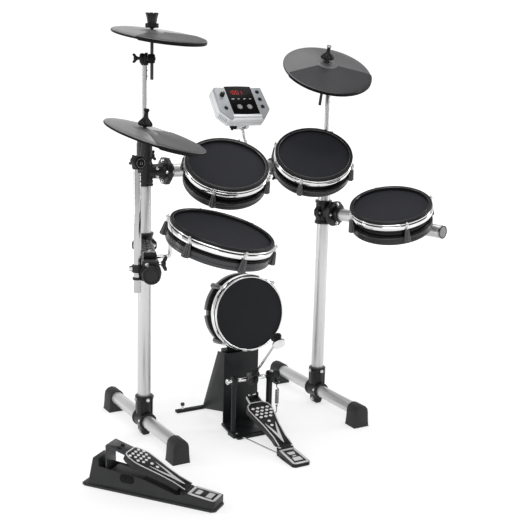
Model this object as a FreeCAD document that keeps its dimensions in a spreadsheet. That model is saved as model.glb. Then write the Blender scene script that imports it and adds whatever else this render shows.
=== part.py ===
import FreeCAD, Part
import Sketcher
import math
import os

# Electronic drum kit on a tube rack.
# Frame of the kit: X to the player's right along the cross bar, Y away from the
# player, Z up, floor at Z = 0.  Millimetres.

V = FreeCAD.Vector
Rot = FreeCAD.Rotation
doc = FreeCAD.newDocument("electronic_drum_kit")
dims = doc.addObject("Spreadsheet::Sheet", "dims")

CELLS = [
    ("shift_x", 78.93, "rack middle to the middle of the footprint, along X"),
    ("shift_y", 152.3, "rack middle to the middle of the footprint, along Y"),
    ("rack_drop", -12.0, "height of the rack's datum over the floor"),
    # rack
    ("tube_r", 19.05, "rack tube outer radius"),
    ("tube_w", 1.6, "rack tube wall"),
    ("bore_gap", 0.15, "gap between a clamp bore and its tube"),
    ("swing_gap", 0.06, "running gap of a clamp that swings"),
    ("post_x", 305.0, "post offset from the rack middle"),
    ("post_top", 772.0, "top of the post tubes"),
    ("bar_z", 58.0, "floor bar height"),
    ("bar_y0", -222.0, "front end of a floor bar"),
    ("bar_len", 447.0, "floor bar length"),
    ("cap_len", 50.0, "foot cap length"),
    ("cap_in", 20.0, "depth of the bar in its cap"),
    ("cross_z", 791.0, "cross bar height"),
    ("cross_half", 261.5, "half length of the cross bar"),
    ("clamp_r", 23.5, "outer radius of a tube clamp"),
    ("left_top", 880.0, "top of the left corner casting"),
    ("right_top", 892.0, "top of the right corner casting"),
    ("snare_arm_z", 582.0, "snare arm height"),
    ("snare_arm_len", 391.5, "snare arm reach"),
    ("side_arm_z", 642.0, "side arm height"),
    ("side_arm_len", 446.0, "side arm reach"),
    ("rod_r", 5.0, "radius of a drum rod"),
    # drums
    ("tom_r", 114.0, "tom outer radius"),
    ("tom_guard_in", 99.5, "inner radius of a tom rim guard"),
    ("tom_h", 70.0, "tom depth"),
    ("snare_r", 134.0, "snare outer radius"),
    ("snare_guard_in", 125.0, "inner radius of the snare rim guard"),
    ("snare_h", 57.0, "snare depth"),
    ("kick_r", 114.4, "kick pad outer radius"),
    ("kick_h", 86.0, "kick pad depth"),
    # cymbals
    ("stand_r", 7.0, "cymbal tube radius"),
    ("hihat_stand_r", 8.7, "hi-hat tube radius"),
    ("stand_w", 1.4, "cymbal tube wall"),
    ("arm_r", 4.5, "cymbal rod radius"),
    ("hihat_r", 128.0, "hi-hat pad radius"),
    ("crash_r", 131.0, "crash pad radius"),
    ("ride_r", 135.0, "ride pad radius"),
    # module
    ("case_t", 40.0, "module thickness"),
    ("panel_w", 88.0, "display panel width"),
    ("panel_h", 100.0, "display panel height"),
    # kick tower and pedals
    ("tower_w", 119.0, "tower plate width"),
    ("tower_h", 224.0, "tower plate height"),
    ("pedal_x", -16.5, "middle line of the kick pedal"),
    ("pedal_y", -27.2, "datum of the kick pedal along Y"),
    ("axle_r", 5.0, "pedal axle radius"),
    ("axle_y", -105.5, "pedal axle place along Y"),
    ("axle_z", 170.0, "pedal axle height"),
    ("beater_len", 204.0, "axle to beater middle"),
    ("heel_y", -298.7, "kick footboard hinge along Y"),
    ("heel_z", 24.0, "kick footboard hinge height"),
    ("board_t", 6.0, "footboard thickness"),
]


class Q:
    """A length with both its sheet expression and its value."""

    def __init__(self, text, val):
        self.text, self.val = text, val

    def __add__(self, o):
        o = asq(o)
        return Q("(%s + %s)" % (self.text, o.text), self.val + o.val)

    def __radd__(self, o):
        return asq(o) + self

    def __sub__(self, o):
        o = asq(o)
        return Q("(%s - %s)" % (self.text, o.text), self.val - o.val)

    def __rsub__(self, o):
        return asq(o) - self

    def __mul__(self, o):
        o = asq(o)
        return Q("(%s * %s)" % (self.text, o.text), self.val * o.val)

    def __rmul__(self, o):
        return asq(o) * self

    def __neg__(self):
        return Q("(0 - %s)" % self.text, -self.val)


def asq(x):
    return x if isinstance(x, Q) else Q("%.6g" % x, float(x))


class Names:
    pass


d = Names()
for i, (alias, value, note) in enumerate(CELLS, start=1):
    dims.set("A%d" % i, note)
    dims.set("B%d" % i, "%.6g" % value)
    dims.setAlias("B%d" % i, alias)
    setattr(d, alias, Q("dims." + alias, value))
doc.recompute()


def vec(p):
    return V(asq(p[0]).val, asq(p[1]).val, asq(p[2]).val)


def put(o, p, rot=None):
    """Place an object: its numbers, then the sheet expressions among them."""
    o.Placement = FreeCAD.Placement(vec(p), rot or Rot())
    for ax, q in zip("xyz", p):
        if isinstance(q, Q):
            o.setExpression("Placement.Base." + ax, q.text)
    return o


def size(o, **kw):
    for k, q in kw.items():
        q = asq(q)
        setattr(o, k, q.val)
        if "dims." in q.text:
            o.setExpression(k, q.text)
    return o


def box(x0, x1, y0, y1, z0, z1):
    o = doc.addObject("Part::Box", "box")
    size(o, Length=asq(x1) - x0, Width=asq(y1) - y0, Height=asq(z1) - z0)
    return put(o, (x0, y0, z0))


def turn(direction):
    return Rot(V(0, 0, 1), V(*direction))


def cyl(p, direction, r, length):
    o = doc.addObject("Part::Cylinder", "cyl")
    size(o, Radius=r, Height=length)
    return put(o, p, turn(direction))


def cone(p, direction, r1, r2, length):
    o = doc.addObject("Part::Cone", "cone")
    size(o, Radius1=r1, Radius2=r2, Height=length)
    return put(o, p, turn(direction))


def ball(p, r):
    o = doc.addObject("Part::Sphere", "ball")
    size(o, Radius=r)
    return put(o, p)


def fuse(*shapes):
    o = doc.addObject("Part::MultiFuse", "fuse")
    o.Shapes = list(shapes)
    return o


def cut(base, *tools):
    o = doc.addObject("Part::Cut", "cut")
    o.Base = base
    o.Tool = tools[0] if len(tools) == 1 else fuse(*tools)
    return o


def group(*shapes):
    o = doc.addObject("Part::Compound", "group")
    o.Links = list(shapes)
    return o


def tube(p, direction, r, wall, length):
    a = V(*direction)
    a.normalize()
    start = vec(p) - a
    return cut(cyl(p, direction, r, length),
               cyl((start.x, start.y, start.z), direction, asq(r) - wall, asq(length) + 2))


def profile(body, plane, pts):
    """A closed sketch of straight lines, every corner held by the sheet."""
    sk = body.newObject("Sketcher::SketchObject", "outline")
    ref = [o for o in body.Origin.OriginFeatures if o.Role == plane][0]
    sk.AttachmentSupport = [(ref, "")]
    sk.MapMode = "FlatFace"
    pts = [(asq(a), asq(b)) for a, b in pts]
    n = len(pts)
    for i in range(n):
        a, b = pts[i], pts[(i + 1) % n]
        sk.addGeometry(Part.LineSegment(V(a[0].val, a[1].val, 0), V(b[0].val, b[1].val, 0)), False)
    for i in range(n):
        sk.addConstraint(Sketcher.Constraint("Coincident", i, 2, (i + 1) % n, 1))
    for i, (a, b) in enumerate(pts):
        for kind, q in (("DistanceX", a), ("DistanceY", b)):
            k = sk.addConstraint(Sketcher.Constraint(kind, -1, 1, i, 1, q.val))
            if "dims." in q.text:
                sk.setExpression("Constraints[%d]" % k, q.text)
    return sk


def lathe(pts):
    """Turned about Z: corners as (radius, height)."""
    body = doc.addObject("PartDesign::Body", "turned")
    sk = profile(body, "XZ_Plane", pts)
    rev = body.newObject("PartDesign::Revolution", "revolution")
    rev.Profile = sk
    rev.ReferenceAxis = (sk, ["V_Axis"])
    rev.Angle = 360
    return body


def prism(plane, pts, length):
    """Padded from an origin plane: XY along +Z, YZ along +X."""
    body = doc.addObject("PartDesign::Body", "padded")
    sk = profile(body, plane, pts)
    pad = body.newObject("PartDesign::Pad", "pad")
    pad.Profile = sk
    size(pad, Length=length)
    return body


NODES = []


def node(label, o, p=(0, 0, 0), rot=None, on_floor=False):
    if o.TypeId in ("Part::Box", "Part::Cylinder"):
        o = group(o)
    o.Label = label
    z = asq(p[2]) if on_floor else p[2] + d.rack_drop
    put(o, (p[0] + d.shift_x, p[1] + d.shift_y, z), rot)
    NODES.append(o)
    return o


def unit(*a):
    v = V(*a)
    v.normalize()
    return v


def axes(x, z):
    """Rotation with local Z along z and local X along x, which is made square to z."""
    z = V(z)
    z.normalize()
    x = V(x) - z * V(x).dot(z)
    x.normalize()
    return Rot(x, z.cross(x), z, "ZXY")


def xyz(v):
    return (v.x, v.y, v.z)


X, Y, Z = (1, 0, 0), (0, 1, 0), (0, 0, 1)
bore = d.tube_r + d.bore_gap
swing = d.tube_r + d.swing_gap

# ---------------------------------------------------------------- rack
bars, caps, posts, clamps, bolts = [], [], [], [], []
for side in (-1, 1):
    px = side * d.post_x
    bars.append(tube((px, d.bar_y0, d.bar_z), Y, d.tube_r, d.tube_w, d.bar_len))
    posts.append(tube((px, 0, 78.5), Z, d.tube_r, d.tube_w, d.post_top - 78.5))
    # rubber boots with an arched top and a flared base
    arch = [(-26.5, 12), (26.5, 12), (26.5, 16), (24.4, 36), (23.2, 58), (20.6, 69), (13, 77.5), (0, 81),
            (-13, 77.5), (-20.6, 69), (-23.2, 58), (-24.4, 36), (-26.5, 16)]
    for y_start, bore_y in ((d.bar_y0 + d.cap_in - d.cap_len - 0.5, d.bar_y0 - 0.5),
                            (d.bar_y0 + d.bar_len - d.cap_in + 0.5,
                             d.bar_y0 + d.bar_len - d.cap_in)):
        b = put(prism("YZ_Plane", arch, d.cap_len), (px, y_start, 0), Rot(V(0, 0, 1), 90))
        caps.append(cut(b, cyl((px, bore_y, d.bar_z), Y, bore, d.cap_in + 0.5)))
    # foot clamp: a collar on the bar, a socket for the post and a lobe under the bar
    clamps.append(cut(
        fuse(cyl((px, -27, d.bar_z), Y, d.clamp_r + 1.5, 54),
             cyl((px, 0, d.bar_z), Z, d.clamp_r, 74),
             cyl((px, 0, 116), Z, d.clamp_r + 2.5, 16),
             box(px - 11, px + 11, -15, 15, 18, d.bar_z)),
        cyl((px, -28, d.bar_z), Y, bore, 56),
        cyl((px, 0, 77.6), Z, bore, 60)))
    # corner casting: socket on the post, cup for the cross bar, bore for the cymbal tube
    top = d.left_top if side < 0 else d.right_top
    inward = (-side, 0, 0)
    clamps.append(cut(
        fuse(cyl((px, 0, 752), Z, 22.5, 40), cyl((px, 0, 752), Z, 19.8, top - 752),
             cyl((px, 0, d.cross_z), inward, d.clamp_r, 77),
             cyl((px - side * 58, 0, d.cross_z), inward, 37, 13)),
        cyl((px, 0, 751), Z, bore, d.post_top - 751 + 0.4),
        cyl((px, 0, 751), Z, d.stand_r + d.swing_gap, 200),
        cyl((px - side * 43, 0, d.cross_z), inward, bore, 40)))
    # hex bolts of both clamps
    for ay, az in ((0, -29), (29, 0), (-29, 0), (0, 29)):
        bolts.append(cyl((px - side * 71.05, ay, d.cross_z + az), inward, 4.2, 5))
    for sy in (-1, 1):
        bolts.append(cyl((px, sy * (d.clamp_r + 2.55), 124), (0, sy, 0), 3.6, 4))
node("floor_bars", group(*bars))
node("foot_caps", group(*caps))
node("rack_posts", group(*posts))
node("rack_clamps", group(*clamps))
node("clamp_bolts", group(*bolts))
node("cross_bar", tube((-d.cross_half, 0, d.cross_z), X, d.tube_r, d.tube_w, d.cross_half * 2))

# ---------------------------------------------------------------- arms of the rack
# Each arm is drawn along its own X, from the post's axis outwards.
SNARE_AT, SIDE_AT = (-d.post_x, 0, d.snare_arm_z), (d.post_x, 0, d.side_arm_z)
SNARE_TURN = Rot(V(0, 0, 1), -111.4)
SIDE_TURN = Rot(V(0, 0, 1), -75.3)


def arm_clamp():
    return cut(fuse(cyl((0, 0, -37), Z, d.clamp_r, 74), cyl((0, 0, -37), Z, d.clamp_r + 2.5, 12),
                    cyl((0, 0, 25), Z, d.clamp_r + 2.5, 12), cyl((0, 0, 0), X, d.clamp_r, 76),
                    cyl((40, 0, 0), X, d.clamp_r + 3, 14)),
               cyl((0, 0, -38), Z, swing, 76), cyl((27, 0, 0), X, bore, 60))


def end_cap(reach):
    return cut(cyl((reach - 7, 0, 0), X, d.tube_r + 3.8, 13),
               cyl((reach - 8, 0, 0), X, bore, 8.3))


def end_plug(reach):
    return fuse(cyl((reach + 0.05, 0, 0), X, d.tube_r, 6),
                cyl((reach - 14, 0, 0), X, d.tube_r - d.tube_w - 0.1, 15))


# Where the drums stand: middle of the rim's top, and the way the head faces.
N1, N2, N3 = unit(-0.148, -0.503, 0.852), unit(-0.263, -0.526, 0.809), unit(-0.265, -0.2, 0.943)
NS, NK = unit(0.149, -0.233, 0.961), unit(-0.08, -0.99, 0.12)
C1, C2, C3 = V(-159, -216, 834), V(172, -136, 843), V(270, -383, 724)
CS, CK = V(-279.8, -420.7, 697.7), V(2.5, -74.7, 364.2) + NK * 9
ROT1, ROT2 = axes(V(1, 0, 0), N1), axes(V(1, 0, 0), N2)
ROT3 = axes(V(0.967, 0.254, 0), N3)
ROTS = axes(V(-0.931, 0.364, 0), NS)
ROTK = axes(V(1, 0, 0), NK)

invS = SNARE_TURN.inverted()
orgS = V(-d.post_x.val, 0, d.snare_arm_z.val)


def to_snare_arm(p):
    return invS.multVec(p - orgS)


snare_rod_y = -74
sA = to_snare_arm(CS + ROTS.multVec(V(-20, snare_rod_y, -d.snare_h.val - 14)))
sB = to_snare_arm(CS + ROTS.multVec(V(112, snare_rod_y, -d.snare_h.val - 14)))
hh_x, hh_y = 352, -33
sn_x = sB.x
node("snare_arm_tube", tube((28, 0, 0), X, d.tube_r, d.tube_w, d.snare_arm_len - 28), SNARE_AT, SNARE_TURN)
node("snare_arm_clamp", group(
    arm_clamp(), end_cap(d.snare_arm_len),
    # holder of the snare rod
    cut(fuse(cyl((sn_x - 20, 0, 0), X, d.clamp_r + 1, 40), box(sn_x - 13, sn_x + 13, -17, 17, 4, 42)),
        cyl((sn_x - 21, 0, 0), X, bore, 42), cyl((sn_x, -20, 29), Y, d.rod_r + 0.1, 60)),
    # holder of the hi-hat tube, with its wing bolt
    cut(fuse(cyl((hh_x - 15, 0, 0), X, d.clamp_r + 1, 30), box(hh_x - 14, hh_x + 14, hh_y - 13, -10, -19, 19),
             cyl((hh_x, 20, 0), Y, 4, 20), box(hh_x - 5, hh_x + 5, 36, 41, -20, 20)),
        cyl((hh_x - 16, 0, 0), X, bore, 32), cyl((hh_x, hh_y, -20), Z, d.hihat_stand_r + d.swing_gap, 40)),
), SNARE_AT, SNARE_TURN)

t3_x = 351
node("side_arm_tube", tube((28, 0, 0), X, d.tube_r, d.tube_w, d.side_arm_len - 28), SIDE_AT, SIDE_TURN)

# ---------------------------------------------------------------- drums
# Local frame of a drum: Z out of the head, origin at the middle of the rim's top,
# X along the rod that carries it.


def drum(name, place, rot, r, guard_in, h, lug_angles, rod=None, proud=0.0, lug_low=1.0):
    shell = lathe([(0, -h), (r - 2, -h), (r + 0.5, 2.5 - h), (r + 0.5, 20 - h), (r - 2, 22 - h), (r - 10, 23 - h),
                   (r - 10, -10.4), (r - 13.5, -10.4), (r - 13.5, 4 - h), (0, 4 - h)])
    body = shell
    if rod is not None:
        body = cut(fuse(shell, box(-22, 22, rod - 9, rod + 9, -h - 23, -h + 1)),
                   cyl((-23, rod, -h - 14), X, d.rod_r + 0.06, 46))
    solids = [body, cone((0, 0, 4.05 - h), Z, 20, 9, h - 14.6)]
    claws = []
    for a in lug_angles:
        c, s = math.cos(math.radians(a)), math.sin(math.radians(a))
        lr = r + 5
        core = lathe([(0, -h - 2), (r + 0.5, -h - 2), (r + 0.5, -32), (r + 1.9, -32), (r + 1.9, 0), (0, 0)])
        solids.append(cut(cone((lr * c, lr * s, lug_low - h), Z, 10.2, 5.2, h - 22 - lug_low), core))
        claw = fuse(box(r + 1.8, r + 9, -4.5, 4.5, -21.7, -15), cyl((r + 5, 0, -15.5), Z, 2.6, 7))
        claws.append(put(claw, (0, 0, 0), Rot(V(0, 0, 1), a)))
    hoop = lathe([(r - 7.6, proud - 9.2), (r - 3.8, proud - 9.2), (r - 3.8, -14), (r + 1.5, -16.5), (r + 1.5, -30),
                  (r, -31), (r - 7.6, -31)])
    node(name + "_shell", group(*solids), place, rot)
    node(name + "_hoop", group(hoop, *claws), place, rot)
    node(name + "_head", lathe([(0, -9), (r - 8, -9), (r - 8, -18), (r - 9.6, -18), (r - 9.6, -10.2), (0, -10.2)]), place, rot)
    if guard_in is not None:
        node(name + "_rim", lathe([(guard_in, -8.7), (guard_in, -3), (guard_in + 2.5, -0.6), (r - 7, 0), (r - 3, -1),
                                   (r, -4), (r, -13), (r - 3.5, -13), (r - 3.5, -8.9), (r - 7.8, -8.7)]), place, rot)


def square4(a0):
    return [a0 + 90 * k for k in range(4)]


drum("tom1", xyz(C1), ROT1, d.tom_r, d.tom_guard_in, d.tom_h, square4(50), 0, 0.0, 9.0)
drum("tom2", xyz(C2), ROT2, d.tom_r, d.tom_guard_in, d.tom_h, square4(46), 0, 0.0, 9.0)
drum("tom3", xyz(C3), ROT3, d.tom_r, d.tom_guard_in, d.tom_h, square4(60), 0, 0.0, 9.0)
drum("snare", xyz(CS), ROTS, d.snare_r, d.snare_guard_in, d.snare_h, [48.4 + 60 * k for k in range(6)], snare_rod_y)
drum("kick", xyz(CK), ROTK, d.kick_r, None, d.kick_h, square4(45), None, 4.0)

th, sh = d.tom_h.val, d.snare_h.val
tr = d.rod_r


def seg(a, b, r):
    return cyl(xyz(a), xyz(b - a), r, (b - a).Length)


def bent(points, r):
    """A bent round rod through the points."""
    out = [seg(points[i], points[i + 1], r) for i in range(len(points) - 1)]
    for a, p, b in zip(points, points[1:], points[2:]):
        away = unit(*(p - a)) + unit(*(p - b))
        out.append(put(ball(xyz(p), r + 0.9), xyz(p), axes(away, (p - a).cross(b - p))))
    return fuse(*out)


# rods of the two rack toms and of the module, from holders on the cross bar
B1 = C1 + ROT1.multVec(V(0, 0, -th - 14))
B2 = C2 + ROT2.multVec(V(0, 0, -th - 14))
E1 = C1 + ROT1.multVec(V(75, 0, -th - 14))
E2 = C2 + ROT2.multVec(V(-72, 0, -th - 14))
K1, K2 = V(E1.x, -18, 772), V(E2.x, -18, 768)
S1 = C1 + ROT1.multVec(V(-20, 0, -th - 14))
S2 = C2 + ROT2.multVec(V(20, 0, -th - 14))
MOD_PIN = V(4, 1.7, 912)
M0, M1 = V(34, 1.7, 819), V(7.5, 1.7, 903)
eye = cut(fuse(cyl((-4, 1.7, 912), X, 9, 17.4), seg(M0, M1, tr)), cyl((-5, 1.7, 912), X, 4.06, 20))
node("tom_rods", group(bent([S1, E1, K1], tr), bent([S2, E2, K2], tr), eye))


def bar_holder(x, zc, rod_a, rod_b):
    """Ring on the cross bar with a boss in front, bored for the rod."""
    ring = cyl((x - 18, 0, d.cross_z), X, d.clamp_r + 1, 36)
    boss = box(x - 13, x + 13, -46, -8, zc - 14, zc + 12)
    return cut(fuse(ring, boss), cyl((x - 19, 0, d.cross_z), X, bore, 38), seg(rod_a, rod_b, tr + 0.1))


far1 = K1 + (K1 - E1) * 0.3
far2 = K2 + (K2 - E2) * 0.3
mod_holder = cut(fuse(cyl((16, 0, d.cross_z), X, d.clamp_r + 1, 36), cyl((34, 1.7, d.cross_z), Z, 11, 40)),
                 cyl((15, 0, d.cross_z), X, bore, 38), seg(M0 - (M1 - M0) * 0.02, M1, tr + 0.1))
node("tom_clamps", group(bar_holder(E1.x, 772, E1, far1), bar_holder(E2.x, 768, E2, far2), mod_holder))

# side arm: clamp on the right post, holder of the floor tom's rod, end cap
inv3 = SIDE_TURN.inverted()
org3 = V(d.post_x.val, 0, d.side_arm_z.val)


def to_side(p):
    return inv3.multVec(p - org3)


T3A = C3 + ROT3.multVec(V(-20, 0, -th - 14))
T3B = C3 + ROT3.multVec(V(112, 0, -th - 14))
T3C = C3 + ROT3.multVec(V(84, 0, -th - 14))
a3, b3, c3 = to_side(T3A), to_side(T3B), to_side(T3C)
node("side_arm_clamp", group(
    arm_clamp(), end_plug(d.side_arm_len),
    cut(fuse(cyl((t3_x - 20, 0, 0), X, d.clamp_r + 1, 40),
             cyl((b3.x, b3.y, 5), Z, 11, b3.z + 3)),
        cyl((t3_x - 21, 0, 0), X, bore, 42), seg(a3, b3, tr + 0.1))), SIDE_AT, SIDE_TURN)
node("tom3_rod", seg(a3, b3, tr), SIDE_AT, SIDE_TURN)

# snare rod: out of the drum, down, then level into its holder
sC = V(sn_x, sB.y, 29)
sD = V(sn_x, -12, 29)
node("snare_rod", bent([sA, sB, sC, sD], tr), SNARE_AT, SNARE_TURN)

# ---------------------------------------------------------------- cymbals
# A pad's frame: origin in its hole, Z up through it, +Y up the slope, so the
# pad's middle lies down the slope, towards the player.


def pad(name, place, rot, r, off):
    disc = put(lathe([(0, 4), (r * 0.4, 3.4), (r - 8, 1.2), (r, -1.5), (r, -9), (r - 3, -10.5), (r - 9, -8.5),
                      (r * 0.3, -6), (0, -6)]), (0, -off, 0))
    bell = cone((0, 0, 0), Z, 30, 13, 9)
    node(name, cut(fuse(disc, bell), cyl((0, 0, -20), Z, 8, 60)), place, rot)


def arm(name, place, rot, below, tilter, crown, reach=20):
    """Cymbal rod with its seat, nut and the moving half of the tilter."""
    parts = [cyl((0, 0, -below), Z, d.arm_r, 46 + below), cone((0, 0, -24), Z, 6, 9.5, 13.5),
             cyl((0, 0, 13), Z, 10, 4)]
    if crown:
        parts += [cyl((0, 0, 16.5), Z, 18, 8), cone((0, 0, 24), Z, 13, 18.5, 28)]
    else:
        parts += [cone((0, 0, 16.5), Z, 19, 8, 22), cyl((0, 0, 38), Z, 7, 20)]
    parts.append(cyl((10.5 - reach, 0, -tilter), X, 13, reach - 1.5))
    node(name, fuse(*parts), place, rot)


def stand(name, base, top, u, r):
    """Cymbal tube with the fixed half of the tilter and its wing bolt."""
    u = unit(*u)
    p = V(*top)
    solid = cut(cyl((base[0], base[1], base[2]), Z, r, top[2] - base[2]),
                cyl((base[0], base[1], base[2] - 1), Z, r - d.stand_w, top[2] - base[2] - 14))
    head = cyl(xyz(p - u * 9), xyz(u), 16, 18)
    bolt = cyl(xyz(p - u * 22), xyz(u), 4.5, 16)
    turned = axes(V(0, 0, 1), u)
    wing = put(box(-16, 16, -4, 4, -3, 3), xyz(p - u * 22 - turned.multVec(V(16, 4, 3))), turned)
    node(name, fuse(solid, head, bolt, wing))


YAW = math.radians(30.85)
RIGHT = V(math.cos(YAW), -math.sin(YAW), 0)
NEAR = V(-math.sin(YAW), -math.cos(YAW), 0)
PINS = {}


def square(u, n):
    w = u - n * u.dot(n)
    w.normalize()
    return w


def cymbal(name, top, base_z, n_rod, mid, n_pad, u0, below, r, crown, reach, stand_r):
    """The rod passes beside the tube's top and through the pad's hole, which
    lies off the pad's middle."""
    top = V(*top)
    u = square(u0, n_rod)
    start = top + u * reach
    lift = (mid - start).dot(n_pad) / n_rod.dot(n_pad)
    hole = start + n_rod * lift
    up = hole - mid
    off = up.Length
    rot_pad = axes(up.cross(n_pad), n_pad)
    stand(name + "_tube", (top.x, top.y, base_z), xyz(top), xyz(u), stand_r)
    arm(name + "_rod", xyz(hole), axes(u, n_rod), lift + below, lift, crown, reach)
    pad(name + "_pad", xyz(hole), rot_pad, r, off)
    PINS[name + "_tilter"] = (top, u)
    PINS[name + "_rock"] = (hole, rot_pad.multVec(V(1, 0, 0)))
    print(name, "lift %.1f off %.1f" % (lift, off))


HH_TOP = orgS + SNARE_TURN.multVec(V(hh_x, hh_y, 276.5))
cymbal("hihat", xyz(HH_TOP), 530, unit(0.086, -0.051, 0.995), V(-436.5, -361, 926.5), unit(0.224, -0.176, 0.958),
       NEAR * 0.81 + RIGHT * 0.58, 24, d.hihat_r, False, 20, d.hihat_stand_r)
cymbal("crash", (-d.post_x.val, 0, 1102), 700, V(0, 0, 1), V(-278.6, -38.4, 1168), unit(0.045, -0.138, 0.989), RIGHT,
       57, d.crash_r, True, 20, d.stand_r)
cymbal("ride", (d.post_x.val, 0, 1030), 700, unit(-0.06, -0.3, 0.95), V(262, -58, 1080.5), unit(-0.095, -0.48, 0.872),
       V(-0.936, -0.35, 0), 56, d.ride_r, False, 28, d.stand_r)

# ---------------------------------------------------------------- module
# Face frame: X along the cross bar, Y up the slope, Z out of the face.
al = math.radians(48.4)
MP = V(0, -12, 975)
MZ = V(0, -math.sin(al), math.cos(al))
MROT = axes(V(1, 0, 0), MZ)
mt = d.case_t
pin_l = MROT.inverted().multVec(MOD_PIN - MP)
case = prism("XY_Plane", [(-76, 66), (-80, -16), (-54, -46), (62, -46), (88, -16), (84, 66)], mt)
put(case, (0, 0, -mt))
hollow = prism("XY_Plane", [(-73, 63), (-77, -15), (-52.5, -43), (60.5, -43), (85, -15), (81, 63)], mt - 6)
put(hollow, (0, 0, 3 - mt))
holes = [cyl((x, y, -4), Z, r, 6) for x, y, r in ((-57, 36, 3.2), (-58, -10, 4.3), (65, 48, 4.3), (65, 21, 4.3), (65, -6, 4.3))]
window = box(3.5 - d.panel_w * 0.5, 3.5 + d.panel_w * 0.5, -32, d.panel_h - 32, -1.6, 1)
slots = [cyl((x, -7, -4), Z, 8.3, 6) for x in (-12.5, 20)]
ears = fuse(box(pin_l.x - 19, pin_l.x - 8.4, pin_l.y - 9, pin_l.y + 9, pin_l.z - 9, -mt + 1),
            box(pin_l.x + 10, pin_l.x + 19, pin_l.y - 9, pin_l.y + 9, pin_l.z - 9, -mt + 1),
            cyl((pin_l.x - 19, pin_l.y, pin_l.z), X, 4, 38))
node("module_case", cut(fuse(cut(case, hollow), ears), window, *(holes + slots)), xyz(MP), MROT)
node("module_panel", cut(box(3.7 - d.panel_w * 0.5, 3.3 + d.panel_w * 0.5, -31.8, d.panel_h - 32.2, -1.5, 0.6), *slots), xyz(MP), MROT)
node("volume_knob", fuse(cyl((0, 0, 0.4), Z, 7, 11), cyl((0, 0, -6), Z, 3.14, 7), box(-0.8, 0.8, 2, 6.4, 10, 12)),
     xyz(MP + MROT.multVec(V(-57, 36, 0))), MROT)
for nm, x, y, r in (("button_left", -58, -10, 4), ("button_top", 65, 48, 4), ("button_middle", 65, 21, 4),
                    ("button_bottom", 65, -6, 4), ("select_button_a", -12.5, -7, 8), ("select_button_b", 20, -7, 8)):
    node(nm, fuse(cyl((0, 0, -6.5), Z, r, 9.5), cyl((0, 0, -7.5), Z, r + 1.5, 2.5)),
         xyz(MP + MROT.multVec(V(x, y, 0))), MROT)

# ---------------------------------------------------------------- kick tower
# Drawn from the floor up, in the rack's X and Y.
tx = -1.5
tw, thh = d.tower_w, d.tower_h
x0, x1 = tx - tw * 0.5, tx + tw * 0.5
brace = [(-38, 40), (92, 8), (108, 2), (108, 12), (94, 20), (2, 222), (-38, 222)]
lift = d.rack_drop.val
back = put(box(-42, 42, -128, 22, -6, 0), xyz(CK + V(0, 0, lift) + ROTK.multVec(V(-42, -128, -d.kick_h.val - 6.3))), ROTK)
tower = fuse(box(x0, x1, -40, -36, 5, thh), put(prism("YZ_Plane", brace, 3), (x0, 0, 0)),
             put(prism("YZ_Plane", brace, 3), (x1 - 3, 0, 0)), box(tx - 144, tx + 144, 104, 124, 0, 8),
             box(x0 + 2, x1 - 2, -37, 8, 214, 220), back, box(tx - 42, tx + 42, -18, 14, 214, 226),
             cyl((tx - 121, 115, 7), Z, 3, 18), cyl((tx - 121, 115, 20), Z, 6, 9),
             cyl((tx + 121, 115, 7), Z, 3, 18), cyl((tx + 121, 115, 20), Z, 6, 9))
node("kick_tower", tower, on_floor=True)

# ---------------------------------------------------------------- kick pedal
# Drawn about its own middle line; its frame stands at PED on the floor.
PED = (d.pedal_x, d.pedal_y, 0)
ay, az = d.axle_y, d.axle_z
hy, hz = d.heel_y, d.heel_z
frame = cut(fuse(prism("XY_Plane", [(-66, -145), (67, -145), (67, -92), (55, -15), (-53, -15), (-66, -92)], 8),
                 box(-66, -56, ay - 8, ay + 8, 0, az + 12), box(55, 67, ay - 8, ay + 8, 0, az + 12),
                 cyl((-14, -308, 5), Y, 2.5, 164), cyl((14, -308, 5), Y, 2.5, 164)),
            cyl((-70, ay, az), X, d.axle_r + 0.06, 140))
heel = fuse(put(prism("YZ_Plane", [(-389, 0), (-308.2, 0), (-308.2, 22), (-389, 13.5)], 50), (-25, 0, 0)),
            box(-25, -17, -309, hy + 4, 0, hz + 8), box(17, 25, -309, hy + 4, 0, hz + 8), cyl((-25, hy, hz), X, 3, 50))
node("pedal_frame", group(frame, heel), PED, None, True)
lean = Rot(V(1, 0, 0), 42)
AX = (d.pedal_x, d.pedal_y + ay, az)
node("pedal_axle", group(
    fuse(cyl((-78, 0, 0), X, d.axle_r, 163), cyl((-9, 0, 0), X, 20, 18), cyl((0, 0, 8), Z, 7.5, 28),
         box(72, 78, -30, 4, -5, 5), cyl((-84, 0, 0), X, 8, 9))), AX, lean, True)
bl = d.beater_len
node("beater", fuse(cyl((0, 0, 36.1), Z, 3.2, bl - 36.1), cyl((0, -17, bl), Y, 18, 17), cone((0, 0, bl), Y, 18, 16, 17),
                    cyl((0, -4, bl - 21), Y, 6, 8)), AX, lean, True)
board = [(-20, 12), (20, 12), (21, 40), (28, 90), (38, 140), (42, 168), (36, 190), (22, 203), (-22, 203),
         (-36, 190), (-42, 168), (-38, 140), (-28, 90), (-21, 40)]
tread = put(prism("XY_Plane", board, d.board_t), (0, 0, 2))
node("footboard", cut(fuse(tread, cyl((-16, 0, 0), X, 7, 32), box(-16, 16, 0, 14, 2, d.board_t + 2), box(-14, 14, 197, 213, 3, 26)),
                      cyl((-17, 0, 0), X, 3.06, 34)), (d.pedal_x, d.pedal_y + hy, hz), Rot(V(1, 0, 0), 23), True)
node("pedal_chain", box(-5, 5, ay - 25.5, ay - 21.5, 134, az + 10), PED, None, True)
node("pedal_spring", cyl((75, -127, 78), Z, 5.5, 66), PED, None, True)

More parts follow.
